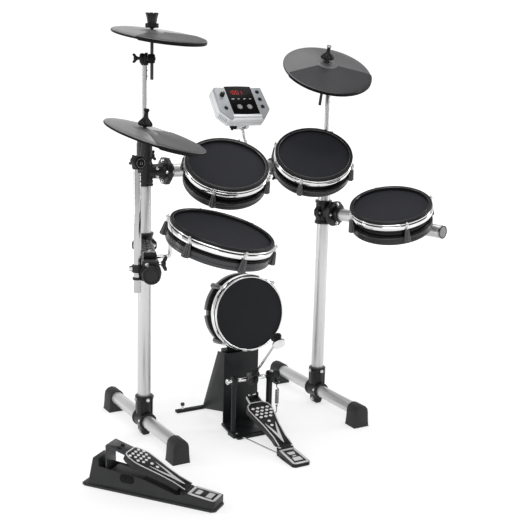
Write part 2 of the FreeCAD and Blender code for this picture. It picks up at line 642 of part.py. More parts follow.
# ---------------------------------------------------------------- hi-hat pedal
# Own frame: +Y from the heel to the toe, hinge of its footboard at (hpy, hpz).
HP = (-341.8, -537.7, 0)
HTURN = Rot(V(0, 0, 1), math.degrees(math.atan2(0.6, 0.8)))
hpy, hpz = 86, 33
side = [(0, 0), (376, 0), (374, 8), (362, 9), (347, 82), (331, 80), (329, 60), (205, 57), (104, 30), (76, 27), (0, 17)]
base = cut(fuse(put(prism("YZ_Plane", side, 56), (-28, 0, 0)), box(-32, 32, -4, 381, 0, 7),
                box(-25, -17.2, 78, 94, 16, 41), box(17.2, 25, 78, 94, 16, 41)),
           box(-23, 23, 298, 330, 12, 90), box(-17.2, 17.2, 74, 106, 21, 60))
node("hihat_pedal_base", fuse(base, cyl((-25, hpy, hpz), X, 3, 50)), HP, HTURN, True)
hb = [(-19, 14), (19, 14), (20, 38), (26, 76), (35, 122), (38, 146), (33, 168), (25, 184), (-25, 184),
      (-33, 168), (-38, 146), (-35, 122), (-26, 76), (-20, 38)]
slope, flat = Rot(V(1, 0, 0), 21.4), Rot(V(1, 0, 0), 14.5)
tread2 = put(prism("XY_Plane", hb, d.board_t), (0, hpy, hpz + 2), slope)
web = put(box(-16, 16, 0, 18, 2, 8), (-16, hpy, hpz + 2), slope)
plate = put(box(-25, 25, 0, 66, 0, 4), (-25, 247, 101.5), flat)
node("hihat_footboard", cut(fuse(tread2, cyl((-16, hpy, hpz), X, 7, 32), web, plate, box(-21, 21, 308, 312, 48, 119)),
                            cyl((-17, hpy, hpz), X, 3.06, 34)), HP, HTURN, True)

doc.recompute()
bad = [(o.Name, o.Label, o.State) for o in doc.Objects if "Invalid" in o.State or "Error" in o.State]
if bad:
    raise RuntimeError("objects failed: %s" % bad)
os.makedirs("parts", exist_ok=True)
for o in NODES:
    if o.Shape.isNull() or not o.Shape.isValid():
        raise RuntimeError("bad shape: " + o.Label)
for o in NODES:
    o.Shape.exportStep("parts/%s.step" % o.Label)
whole = Part.makeCompound([o.Shape for o in NODES]).BoundBox
S0 = V(d.shift_x.val, d.shift_y.val, d.rack_drop.val)
PINS["tom1_tilt"] = (B1, ROT1.multVec(V(1, 0, 0)))
PINS["tom2_tilt"] = (B2, ROT2.multVec(V(1, 0, 0)))
PINS["tom3_tilt"] = (T3A, ROT3.multVec(V(1, 0, 0)))
PINS["snare_tilt"] = (CS + ROTS.multVec(V(0, snare_rod_y, -sh - 14)), ROTS.multVec(V(1, 0, 0)))
PINS["module_tilt"] = (MOD_PIN, V(1, 0, 0))
for k, (at, way) in PINS.items():
    at = at + S0
    print("pin", k, [round(v / 1000, 6) for v in at], [round(v, 6) for v in way])
print("snare clamp at %.1f" % sn_x, "nodes", len(NODES))
print("box", [round(v, 2) for v in (whole.XMin, whole.XMax, whole.YMin, whole.YMax, whole.ZMin, whole.ZMax)])
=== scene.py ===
import math

import bmesh
import bpy
from mathutils import Matrix, Vector


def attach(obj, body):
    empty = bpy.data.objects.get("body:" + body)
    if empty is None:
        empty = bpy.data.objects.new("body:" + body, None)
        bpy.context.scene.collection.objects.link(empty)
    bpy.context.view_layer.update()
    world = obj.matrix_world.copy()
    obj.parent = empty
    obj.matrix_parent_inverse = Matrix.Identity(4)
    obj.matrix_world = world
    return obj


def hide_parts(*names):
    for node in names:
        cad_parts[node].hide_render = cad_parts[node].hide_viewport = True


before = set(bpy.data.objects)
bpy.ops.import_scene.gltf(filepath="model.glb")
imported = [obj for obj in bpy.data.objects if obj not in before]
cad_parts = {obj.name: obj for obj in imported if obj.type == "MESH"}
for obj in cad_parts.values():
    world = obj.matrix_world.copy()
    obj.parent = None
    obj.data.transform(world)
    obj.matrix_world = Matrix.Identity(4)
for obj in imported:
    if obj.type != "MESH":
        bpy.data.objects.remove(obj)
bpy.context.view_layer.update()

# Electronic drum kit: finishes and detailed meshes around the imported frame.
# Lengths are written in millimetres in the local frame of each unit and turned
# into metres when a piece is made.

scene = bpy.context.scene
I4 = Matrix.Identity(4)
KIT = Matrix.Translation((0.07893, 0.1523, -0.012))
FLOOR = Matrix.Translation((0.07893, 0.1523, 0.0))
X, Y, Z = (1, 0, 0), (0, 1, 0), (0, 0, 1)


# ------------------------------------------------------------------ materials
def new_mat(name):
    m = bpy.data.materials.new(name)
    m.use_nodes = True
    nt = m.node_tree
    return m, nt, nt.nodes["Principled BSDF"]


def node(nt, kind, **props):
    n = nt.nodes.new("ShaderNode" + kind)
    for k, v in props.items():
        setattr(n, k, v)
    return n


def ramp(nt, src, lo, hi, a=0.3, b=0.7):
    r = node(nt, "ValToRGB")
    r.color_ramp.elements[0].position, r.color_ramp.elements[1].position = a, b
    r.color_ramp.elements[0].color = (*lo, 1)
    r.color_ramp.elements[1].color = (*hi, 1)
    nt.links.new(src, r.inputs["Fac"])
    return r.outputs["Color"]


def span(nt, src, lo, hi, a=0.25, b=0.75):
    r = node(nt, "MapRange")
    for k, v in (("From Min", a), ("From Max", b), ("To Min", lo), ("To Max", hi)):
        r.inputs[k].default_value = v
    nt.links.new(src, r.inputs["Value"])
    return r.outputs["Result"]


def coords(nt, stretch=(1, 1, 1)):
    t = node(nt, "TexCoord")
    m = node(nt, "Mapping")
    m.inputs["Scale"].default_value = stretch
    nt.links.new(t.outputs["Object"], m.inputs["Vector"])
    return m.outputs["Vector"]


def noise(nt, vec, scale, detail=3.0, rough=0.55):
    n = node(nt, "TexNoise")
    n.inputs["Scale"].default_value = scale
    n.inputs["Detail"].default_value = detail
    n.inputs["Roughness"].default_value = rough
    nt.links.new(vec, n.inputs["Vector"])
    return n.outputs["Fac"]


def bumped(nt, shader, height, strength, dist):
    b = node(nt, "Bump")
    b.inputs["Strength"].default_value = strength
    b.inputs["Distance"].default_value = dist
    nt.links.new(height, b.inputs["Height"])
    nt.links.new(b.outputs["Normal"], shader.inputs["Normal"])
    return b


def grey(v, warm=0.0):
    return (v * (1 + warm), v, v * (1 - warm))


def mk(name, base, rough, metal=0.0, tint=0.12, blotch=22.0, grain=800.0, bump=0.25, dist=0.0001, rspan=0.08,
       stretch=(1, 1, 1), **sockets):
    """A solid finish: soft colour and gloss variation, with a fine grain."""
    m, nt, sh = new_mat(name)
    vec = coords(nt, stretch)
    big = noise(nt, coords(nt), blotch)
    fine = noise(nt, vec, grain, 2.0)
    lo, hi = [c * (1 - tint) for c in base], [c * (1 + tint) for c in base]
    nt.links.new(ramp(nt, big, lo, hi), sh.inputs["Base Color"])
    nt.links.new(span(nt, fine, rough - rspan, rough + rspan), sh.inputs["Roughness"])
    sh.inputs["Metallic"].default_value = metal
    for k, v in sockets.items():
        sh.inputs[k.replace("_", " ")].default_value = v
    bumped(nt, sh, fine, bump, dist)
    return m


def mk_mesh(name, base, pitch, rough=0.62):
    """Two-ply woven mesh: crossing threads at the given pitch in metres."""
    m, nt, sh = new_mat(name)
    vec = coords(nt)
    waves = []
    for way in ("X", "Y"):
        w = node(nt, "TexWave", wave_type="BANDS", bands_direction=way, wave_profile="SIN")
        w.inputs["Scale"].default_value = 2 * math.pi / (20 * pitch)
        w.inputs["Distortion"].default_value = 0.0
        nt.links.new(vec, w.inputs["Vector"])
        waves.append(w.outputs["Fac"])
    top = node(nt, "Math", operation="MAXIMUM")
    nt.links.new(waves[0], top.inputs[0])
    nt.links.new(waves[1], top.inputs[1])
    soft = noise(nt, vec, 9.0, 3.0)
    mix = node(nt, "Math", operation="MULTIPLY_ADD")
    nt.links.new(top.outputs[0], mix.inputs[0])
    mix.inputs[1].default_value = 0.6
    nt.links.new(span(nt, soft, 0.0, 0.4), mix.inputs[2])
    nt.links.new(ramp(nt, mix.outputs[0], [c * 0.6 for c in base], [c * 1.25 for c in base], 0.1, 0.95),
                 sh.inputs["Base Color"])
    nt.links.new(span(nt, soft, rough - 0.06, rough + 0.06), sh.inputs["Roughness"])
    sh.inputs["Specular IOR Level"].default_value = 0.12
    bumped(nt, sh, top.outputs[0], 0.5, 0.0003)
    return m


def mk_cymbal(name, base, rings, spokes, rough, aniso, spec, sheen):
    """Moulded rubber with fine turned grooves and faint radial hatching."""
    m, nt, sh = new_mat(name)
    t = node(nt, "TexCoord")
    mp = node(nt, "Mapping")
    nt.links.new(t.outputs["Object"], mp.inputs["Vector"])
    vec = mp.outputs["Vector"]
    w = node(nt, "TexWave", wave_type="RINGS", rings_direction="Z", wave_profile="SIN")
    w.inputs["Scale"].default_value = 2 * math.pi / (20 * rings)
    nt.links.new(vec, w.inputs["Vector"])
    g = node(nt, "TexGradient", gradient_type="RADIAL")
    nt.links.new(vec, g.inputs["Vector"])
    s = node(nt, "Math", operation="MULTIPLY")
    s.inputs[1].default_value = 2 * math.pi * spokes
    nt.links.new(g.outputs["Fac"], s.inputs[0])
    c = node(nt, "Math", operation="SINE")
    nt.links.new(s.outputs[0], c.inputs[0])
    fine = noise(nt, vec, 520.0, 2.0)
    both = node(nt, "Math", operation="MULTIPLY_ADD")
    nt.links.new(c.outputs[0], both.inputs[0])
    both.inputs[1].default_value = 0.4
    nt.links.new(w.outputs["Fac"], both.inputs[2])
    soft = noise(nt, vec, 12.0, 4.0)
    add = node(nt, "Math", operation="MULTIPLY_ADD")
    nt.links.new(both.outputs[0], add.inputs[0])
    add.inputs[1].default_value = 0.42
    nt.links.new(soft, add.inputs[2])
    nt.links.new(ramp(nt, add.outputs[0], [k * 0.55 for k in base], [k * 1.4 for k in base], 0.2, 1.0), sh.inputs["Base Color"])
    tan = node(nt, "Tangent", direction_type="RADIAL", axis="Z")
    nt.links.new(tan.outputs["Tangent"], sh.inputs["Tangent"])
    sh.inputs["Anisotropic"].default_value = aniso
    sh.inputs["Sheen Weight"].default_value = sheen
    sh.inputs["Sheen Roughness"].default_value = 0.3
    sh.inputs["Specular IOR Level"].default_value = spec
    nt.links.new(span(nt, fine, rough - 0.07, rough + 0.07), sh.inputs["Roughness"])
    bumped(nt, sh, both.outputs[0], 0.45, 0.00022)
    return m


def mk_glow(name, colour, power):
    m, nt, sh = new_mat(name)
    fine = noise(nt, coords(nt), 900.0, 2.0)
    nt.links.new(ramp(nt, fine, [c * 0.55 for c in colour], [c * 0.75 for c in colour]), sh.inputs["Base Color"])
    sh.inputs["Roughness"].default_value = 0.3
    sh.inputs["Emission Color"].default_value = (*colour, 1)
    sh.inputs["Emission Strength"].default_value = power
    bumped(nt, sh, fine, 0.05, 0.00005)
    return m


SATIN = mk("satin_silver", grey(0.6), 0.32, 0.7, 0.03, 6.0, 300.0, 0.06, 0.00005, 0.05)
CHROME = mk("chrome", grey(0.58), 0.08, 1.0, 0.03, 14.0, 260.0, 0.02, 0.00003, 0.03)
POLISHED = mk("polished_tube", grey(0.45), 0.14, 1.0, 0.03, 14.0, 260.0, 0.004, 0.00001, 0.02)
HOOP = mk("hoop_chrome", grey(0.76), 0.07, 1.0, 0.06, 20.0, 260.0, 0.03, 0.00003, 0.03)
NICKEL = mk("bright_nickel", grey(0.86), 0.13, 1.0, 0.04, 30.0, 500.0, 0.04, 0.00003, 0.04)
RIBBED = mk("ribbed_black", grey(0.011), 0.22, 0.0, 0.2, 30.0, 900.0, 0.15, 0.00008, 0.06, Specular_IOR_Level=0.6)
STEEL = mk("bright_steel", grey(0.7), 0.2, 1.0, 0.08, 30.0, 700.0, 0.06, 0.00004, 0.06)
CLAMP = mk("clamp_black", grey(0.009), 0.33, 0.0, 0.25, 30.0, 900.0, 0.35, 0.00012, 0.1, Specular_IOR_Level=0.28)
BOOT = mk("boot_rubber", grey(0.021), 0.55, 0.0, 0.18, 24.0, 700.0, 0.4, 0.00015, 0.08, Specular_IOR_Level=0.3)
GUARD = mk("rim_rubber", (0.0085, 0.0085, 0.0095), 0.4, 0.0, 0.18, 26.0, 600.0, 0.2, 0.0001, 0.08, Specular_IOR_Level=0.18)
GUARDLINE = mk("rim_bead", (0.012, 0.012, 0.013), 0.2, 0.0, 0.18, 26.0, 600.0, 0.1, 0.0001, 0.06, Specular_IOR_Level=1.0)
SPRING = mk("spring_steel", grey(0.3), 0.22, 1.0, 0.1, 60.0, 700.0, 0.06, 0.00004, 0.06)
DULL = mk("knob_dull", grey(0.007), 0.55, 0.0, 0.2, 40.0, 900.0, 0.3, 0.0001, 0.1, Specular_IOR_Level=0.1)
SHELL = mk("shell_black", grey(0.006), 0.25, 0.0, 0.2, 20.0, 500.0, 0.06, 0.00005, 0.06, Specular_IOR_Level=0.25)
RING = mk("ring_grey", (0.03, 0.0308, 0.0335), 0.26, 0.0, 0.2, 20.0, 700.0, 0.15, 0.00008, 0.08, Specular_IOR_Level=0.4)
RINGDARK = mk("ring_black", (0.0125, 0.0128, 0.014), 0.26, 0.0, 0.2, 20.0, 700.0, 0.15, 0.00008, 0.08, Specular_IOR_Level=0.36)
RINGLINE = mk("ring_bead", (0.02, 0.0205, 0.022), 0.18, 0.0, 0.2, 20.0, 700.0, 0.1, 0.00008, 0.06, Specular_IOR_Level=1.0)
LUG = mk("lug_black", (0.03, 0.03, 0.032), 0.2, 0.0, 0.2, 40.0, 700.0, 0.12, 0.00006, 0.06, Specular_IOR_Level=0.7)
DARKROD = mk("rod_black", grey(0.03), 0.36, 0.3, 0.2, 30.0, 800.0, 0.12, 0.00006, 0.08, Specular_IOR_Level=0.3)
KNOB = mk("knob_black", grey(0.0065), 0.36, 0.0, 0.2, 40.0, 900.0, 0.25, 0.0001, 0.1, Specular_IOR_Level=0.17)
CROWN = mk("crown_black", grey(0.011), 0.3, 0.0, 0.2, 40.0, 900.0, 0.2, 0.0001, 0.08, Specular_IOR_Level=0.3)
FELT = mk("felt_dark", grey(0.015), 0.9, 0.0, 0.35, 60.0, 1500.0, 0.9, 0.0004, 0.05, Sheen_Weight=0.1, Specular_IOR_Level=0.1)
STEELBLACK = mk("powder_black", (0.0085, 0.0098, 0.0108), 0.4, 0.0, 0.2, 18.0, 1200.0, 0.35, 0.00012, 0.09, Specular_IOR_Level=0.25)
PLASTIC = mk("pedal_plastic", (0.02, 0.0205, 0.0212), 0.46, 0.0, 0.15, 26.0, 900.0, 0.4, 0.00012, 0.08, Specular_IOR_Level=0.3)
BOARD = mk("board_black", (0.011, 0.011, 0.0115), 0.4, 0.0, 0.2, 30.0, 700.0, 0.25, 0.0001, 0.08, Specular_IOR_Level=0.3)
PAINT = mk("silver_print", grey(0.7), 0.35, 0.3, 0.06, 30.0, 900.0, 0.12, 0.00005, 0.06)
WHITE = mk("white_plastic", grey(0.8), 0.35, 0.0, 0.03, 30.0, 600.0, 0.08, 0.00005, 0.05)
CASE = mk("case_silver", (0.68, 0.69, 0.7), 0.38, 0.2, 0.05, 16.0, 1100.0, 0.18, 0.00006, 0.06)
CASEDARK = mk("case_face", (0.33, 0.34, 0.355), 0.36, 0.3, 0.06, 16.0, 1100.0, 0.2, 0.00006, 0.06)
PANEL = mk("panel_gloss", grey(0.003), 0.26, 0.0, 0.2, 30.0, 500.0, 0.02, 0.00003, 0.04, Specular_IOR_Level=0.06)
BUTTON = mk("button_grey", grey(0.2), 0.4, 0.0, 0.08, 200.0, 800.0, 0.15, 0.00006, 0.06)
MESH = mk_mesh("woven_mesh", (0.0178, 0.0182, 0.0222), 0.0011)
KICKMESH = mk_mesh("woven_mesh_kick", (0.0165, 0.0172, 0.02), 0.0011)
HAT_LIGHT = mk_cymbal("cymbal_light", (0.058, 0.058, 0.061), 0.0048, 110, 0.34, 0.85, 0.8, 0.5)
HAT_DARK = mk_cymbal("cymbal_strike", (0.022, 0.022, 0.0243), 0.0036, 120, 0.44, 0.4, 0.18, 0.14)
HAT_EDGE = mk("cymbal_edge", grey(0.004), 0.5, 0.0, 0.2, 30.0, 700.0, 0.2, 0.0001, 0.08, Specular_IOR_Level=0.1)
RED = mk_glow("digit_red", (0.75, 0.012, 0.016), 0.55)
REDOFF = mk("digit_off", (0.012, 0.003, 0.0032), 0.3, 0.0, 0.2, 40.0, 600.0, 0.05, 0.00005, 0.05, Specular_IOR_Level=0.2)


# ------------------------------------------------------------------ mesh tools
class Part:
    """Collects the shells of one piece."""

    def __init__(self):
        self.v, self.f, self.m, self.mats = [], [], [], []

    def add(self, verts, faces, mat, T=I4):
        if mat not in self.mats:
            self.mats.append(mat)
        k, base = self.mats.index(mat), len(self.v)
        self.v += [T @ Vector(p) for p in verts]
        self.f += [[i + base for i in f] for f in faces]
        self.m += [k] * len(faces)

    def make(self, name, body, place, slot=None, nodes=(), sharp=36):
        me = bpy.data.meshes.new(name)
        me.from_pydata([p * 0.001 for p in self.v], [], self.f)
        for m in self.mats:
            me.materials.append(m)
        me.polygons.foreach_set("material_index", self.m)
        me.polygons.foreach_set("use_smooth", [True] * len(self.f))
        bm = bmesh.new()
        bm.from_mesh(me)
        bmesh.ops.recalc_face_normals(bm, faces=bm.faces)
        bm.to_mesh(me)
        bm.free()
        me.set_sharp_from_angle(angle=math.radians(sharp))
        o = bpy.data.objects.new(name, me)
        scene.collection.objects.link(o)
        o.matrix_world = place
        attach(o, body)
        if nodes:
            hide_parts(*nodes)
        return o


def axes(x, z):
    """Rotation with local Z along z and local X along x, made square to z."""
    z = Vector(z).normalized()
    x = Vector(x)
    x = (x - z * x.dot(z)).normalized()
    return Matrix((x, z.cross(x), z)).transposed()


def spot(base, p, rot=None):
    m = base @ Matrix.Translation(Vector(p) * 0.001)
    return m @ rot.to_4x4() if rot else m


def move(x, y, z):
    return Matrix.Translation((x, y, z))


def turn(deg, axis):
    return Matrix.Rotation(math.radians(deg), 4, axis)


def aim(p, d, x=None):
    """Takes local Z along d, from the point p."""
    d = Vector(d).normalized()
    if x is None:
        x = (1, 0, 0) if abs(d.x) < 0.9 else (0, 1, 0)
    return Matrix.Translation(p) @ axes(x, d).to_4x4()


def fillet(pts, r, k=3, closed=True):
    """Rounds the corners of a line."""
    n, out = len(pts), []
    rr = r if isinstance(r, (list, tuple)) else [r] * n
    pts = [Vector(p) for p in pts]
    for i, p in enumerate(pts):
        if rr[i] <= 0 or (not closed and i in (0, n - 1)):
            out.append(p)
            continue
        a, b = pts[i - 1] - p, pts[(i + 1) % n] - p
        la, lb = a.length, b.length
        if la < 1e-6 or lb < 1e-6:
            out.append(p)
            continue
        ang = a.angle(b)
        if ang > math.radians(176):
            out.append(p)
            continue
        t = min(rr[i] / max(math.tan(ang / 2), 1e-3), 0.48 * la, 0.48 * lb)
        p0, p1 = p + a * (t / la), p + b * (t / lb)
        for j in range(k + 1):
            s = j / k
            out.append(p0 * (1 - s) ** 2 + p * (2 * s * (1 - s)) + p1 * (s * s))
    return out


def lathe(P, prof, mat, T=I4, n=72, r=0.7, k=2):
    """Turned about local Z: the closed outline (radius, height)."""
    pts = fillet(prof, [0 if q[0] < 1e-6 else r for q in prof], k) if r else [Vector(q) for q in prof]
    verts, rings = [], []
    for q in pts:
        if q[0] < 1e-6:
            rings.append([len(verts)])
            verts.append((0, 0, q[1]))
        else:
            rings.append(list(range(len(verts), len(verts) + n)))
            verts += [(q[0] * math.cos(2 * math.pi * j / n), q[0] * math.sin(2 * math.pi * j / n), q[1]) for j in range(n)]
    faces = []
    for i in range(len(rings)):
        a, b = rings[i], rings[(i + 1) % len(rings)]
        if len(a) == 1 and len(b) == 1:
            continue
        for j in range(n):
            q = (j + 1) % n
            if len(a) == 1:
                faces.append((a[0], b[q], b[j]))
            elif len(b) == 1:
                faces.append((a[j], a[q], b[0]))
            else:
                faces.append((a[j], a[q], b[q], b[j]))
    P.add(verts, faces, mat, T)


def offset(pts, d):
    out, n = [], len(pts)
    for i in range(n):
        a, b = (pts[i] - pts[i - 1]), (pts[(i + 1) % n] - pts[i])
        if a.length < 1e-7 or b.length < 1e-7:
            out.append(pts[i].copy())
            continue
        a.normalize()
        b.normalize()
        na, nb = Vector((-a.y, a.x)), Vector((-b.y, b.x))
        m = na + nb
        m = na if m.length < 1e-6 else m.normalized()
        out.append(pts[i] + m * (d / max(m.dot(na), 0.4)))
    return out


def area(pts):
    return sum(pts[i - 1].x * pts[i].y - pts[i].x * pts[i - 1].y for i in range(len(pts))) / 2


def loft(P, rings, mat, T=I4, cap=True, closed=False):
    """Skins equal rings of points."""
    n = len(rings[0])
    verts = [p for ring in rings for p in ring]
    faces = []
    m = len(rings)
    for i in range(m if closed else m - 1):
        for j in range(n):
            q, i2 = (j + 1) % n, (i + 1) % m
            faces.append((i * n + j, i * n + q, i2 * n + q, i2 * n + j))
    if cap and not closed:
        faces.append(tuple(range(n))[::-1])
        faces.append(tuple(range((m - 1) * n, m * n)))
    P.add(verts, faces, mat, T)


def slab(P, outline, z0, z1, mat, T=I4, r=0.8, k=2, corner=0.0, ck=4):
    """A flat outline given thickness, with rounded edges."""
    pts = [Vector(p) for p in outline]
    if area(pts) < 0:
        pts.reverse()
    if corner:
        pts = fillet(pts, corner, ck)
    r = min(r, abs(z1 - z0) * 0.48)
    rings = []
    if r <= 0:
        rings = [(pts, z0), (pts, z1)]
    else:
        for j in range(k + 1):
            a = math.pi / 2 * j / k
            rings.append((offset(pts, r * (1 - math.sin(a))), z0 + r * (1 - math.cos(a))))
        for j in range(k, -1, -1):
            a = math.pi / 2 * j / k
            rings.append((offset(pts, r * (1 - math.sin(a))), z1 - r * (1 - math.cos(a))))
    loft(P, [[(p.x, p.y, z) for p in ring] for ring, z in rings], mat, T)


def box(P, x0, x1, y0, y1, z0, z1, mat, T=I4, r=0.8, corner=None):
    slab(P, [(x0, y0), (x1, y0), (x1, y1), (x0, y1)], z0, z1, mat, T, r, corner=r * 1.2 if corner is None else corner)


def cyl(P, p, d, r, length, mat, T=I4, e=0.6, n=40):
    lathe(P, [(0, 0), (r, 0), (r, length), (0, length)], mat, T @ aim(p, d), n, e)


def hollow(P, p, d, r, ri, length, mat, T=I4, e=0.5, n=72):
    lathe(P, [(ri, 0), (r, 0), (r, length), (ri, length)], mat, T @ aim(p, d), n, e)


def turned(P, p, d, prof, mat, T=I4, e=0.6, n=48):
    lathe(P, prof, mat, T @ aim(p, d), n, e)


def rod(P, pts, r, mat, T=I4, n=16, bend=0.0, k=6):
    """A round rod or wire along points, its corners bent to a radius."""
    pts = [Vector(p) for p in pts]
    if bend:
        pts = fillet(pts, bend, k, False)
    m = len(pts)
    tang = [(pts[min(i + 1, m - 1)] - pts[max(i - 1, 0)]).normalized() for i in range(m)]
    ref = Vector((0, 0, 1)) if abs(tang[0].z) < 0.9 else Vector((1, 0, 0))
    u = (ref - tang[0] * ref.dot(tang[0])).normalized()
    rings = []
    for i in range(m):
        t = tang[i]
        u = (u - t * u.dot(t)).normalized()
        w = t.cross(u)
        steps = [(0.0, 1.0)]
        if i == 0:
            steps = [(0.0, 0.82), (0.25 * r, 1.0)]
        if i == m - 1:
            steps = [(-0.25 * r, 1.0), (0.0, 0.82)]
        for along, s in steps:
            c = pts[i] + t * along
            rings.append([c + (u * math.cos(2 * math.pi * j / n) + w * math.sin(2 * math.pi * j / n)) * (r * s) for j in range(n)])
    loft(P, rings, mat, T)


def ngon(n, r, a0=0.0):
    return [(r * math.cos(2 * math.pi * j / n + a0), r * math.sin(2 * math.pi * j / n + a0)) for j in range(n)]


def hexbolt(P, p, d, af, h, mat, T=I4, washer=True):
    M = T @ aim(p, d)
    c = af / math.sqrt(3)
    if washer:
        lathe(P, [(0, 0), (c * 1.2, 0), (c * 1.2, 0.9), (0, 0.9)], mat, M, 28, 0.3)
    slab(P, ngon(6, c), 0.7 if washer else 0, h, mat, M, 0.7)
    lathe(P, [(0, h - 0.3), (c * 0.55, h - 0.3), (c * 0.5, h + 0.25), (0, h + 0.25)], mat, M, 20, 0.1)


def fluted(R, z, depth, count, n=64, c=(0, 0)):
    return [(c[0] + R * (1 - depth * (0.5 - 0.5 * math.cos(count * 2 * math.pi * j / n))) * math.cos(2 * math.pi * j / n),
             c[1] + R * (1 - depth * (0.5 - 0.5 * math.cos(count * 2 * math.pi * j / n))) * math.sin(2 * math.pi * j / n), z)
            for j in range(n)]


def wing_bolt(P, p, d, x, reach, mat, T=I4, hub=6.5, length=11):
    """A wing bolt: hub along d, wings along x."""
    M = T @ aim(p, d, x)
    lathe(P, [(0, 0), (hub, 0), (hub, length * 0.6), (hub * 0.7, length), (0, length)], mat, M, 32, 1.0)
    side = M @ Matrix(((1, 0, 0, 0), (0, 0, -1, 0), (0, 1, 0, 0), (0, 0, 0, 1)))
    for s in (-1, 1):
        slab(P, [(s * hub * 0.4, length * 0.15), (s * reach * 0.55, length * 0.3), (s * reach, length * 0.75),
                 (s * reach * 0.95, length * 1.3), (s * reach * 0.6, length * 1.25), (s * hub * 0.5, length * 0.85)],
             -2.6, 2.6, mat, side, 1.2, corner=2.5)


# Slab of a unit's X and Z, its thickness along -Y from the given place.
def along_y(x, y, z):
    return move(x, y, z) @ Matrix(((1, 0, 0, 0), (0, 0, -1, 0), (0, 1, 0, 0), (0, 0, 0, 1)))


# Slab of a unit's Y and Z, its thickness along +X.
def along_x(x, y, z):
    return move(x, y, z) @ Matrix(((0, 0, 1, 0), (1, 0, 0, 0), (0, 1, 0, 0), (0, 0, 0, 1)))


# ------------------------------------------------------------------ rack
TR, TW = 19.05, 1.6
PX = 305.0


def pipe(P, p, d, length, mat=None, r=TR, wall=TW, T=I4):
    """A drawn tube with a turned-in lip at both ends."""
    hollow(P, p, d, r, r - wall, length, mat or SATIN, T, 0.5, 88)


P = Part()
for s in (-1, 1):
    pipe(P, (s * PX, -222, 58), Y, 447)
P.make("floor_tubes", "rack", KIT, "satin_tube", ["floor_bars"])

P = Part()
for s in (-1, 1):
    pipe(P, (s * PX, 0, 78.5), Z, 693.5)
P.make("post_tubes", "rack", KIT, "satin_tube", ["rack_posts"])

P = Part()
pipe(P, (-261.5, 0, 791), X, 523)
P.make("cross_tube", "rack", KIT, "satin_tube", ["cross_bar"])

# rubber boots: arched, flared at the foot, with a moulded step round the base and a lip at the mouth
ARCH = [(-26.5, 12), (26.5, 12), (26.5, 16), (24.4, 36), (23.2, 58), (20.6, 69), (13, 77.5), (0, 81),
        (-13, 77.5), (-20.6, 69), (-23.2, 58), (-24.4, 36), (-26.5, 16)]
P = Part()
for s in (-1, 1):
    for y1, mouth, way in ((-202.5, -202.5, 1), (255.5, 205.5, -1)):
        T = along_y(s * PX, y1, 0)
        slab(P, ARCH, 0, 50, BOOT, T, 2.6, 3, 5.0, 4)
        slab(P, [(-26.9, 12), (26.9, 12), (26.9, 14.6), (-26.9, 14.6)], -0.3, 50.3, BOOT, T, 0.6, 2, 0.8)
        turned(P, (s * PX, mouth, 58), (0, way, 0), [(18.6, -1.5), (21.6, -1.5), (21.2, 0.9), (20.2, 1.4), (19.3, 0.8), (18.6, -0.4)],
               BOOT, I4, 0.4, 56)
P.make("foot_boots", "rack", KIT, "foot_rubber", ["foot_caps"])

OCT = [(-15, 37.5), (15, 37.5), (34, 20), (37.5, 0), (34, -20), (15, -37.5), (-15, -37.5), (-34, -20), (-37.5, 0), (-34, 20)]


def flange(P, T, z0, z1, mat):
    """Bolt flange round a branch: an eight-sided plate with a raised rim and spot faces for four bolts."""
    slab(P, OCT, z0, z1, mat, T, 1.6, 3, 6.0, 4)
    for a in range(4):
        c, q = 29 * math.cos(a * math.pi / 2), 29 * math.sin(a * math.pi / 2)
        lathe(P, [(0, z1 - 1), (7, z1 - 1), (7, z1 + 0.9), (0, z1 + 0.9)], mat, T @ move(c, q, 0), 28, 0.5)


def flange_bolts(P, T, z1, mat):
    for a in range(4):
        c, q = 29 * math.cos(a * math.pi / 2), 29 * math.sin(a * math.pi / 2)
        hexbolt(P, (c, q, z1 + 0.9), Z, 7.5, 4.6, mat, T)


def ear(P, T, mat, bolt, reach=35.0, high=17.0):
    """Clamp ears to both sides of a sleeve, drawn in local Y and Z, bolted through along X."""
    for s in (-1, 1):
        slab(P, [(s * 14, -high - 6), (s * (reach - 9), -high), (s * reach, -high * 0.45), (s * reach, high * 0.45),
                 (s * (reach - 9), high), (s * 14, high + 6)], -8.5, -0.6, mat, T @ along_x(0, 0, 0), 1.4, 2, 4.0)
        slab(P, [(s * 14, -high - 6), (s * (reach - 9), -high), (s * reach, -high * 0.45), (s * reach, high * 0.45),
                 (s * (reach - 9), high), (s * 14, high + 6)], 0.6, 8.5, mat, T @ along_x(0, 0, 0), 1.4, 2, 4.0)
        hexbolt(P, (8.5, s * (reach - 8.5), 0), X, 7.5, 4.5, bolt, T)
        hexbolt(P, (-8.5, s * (reach - 8.5), 0), (-1, 0, 0), 7.5, 3.5, bolt, T)


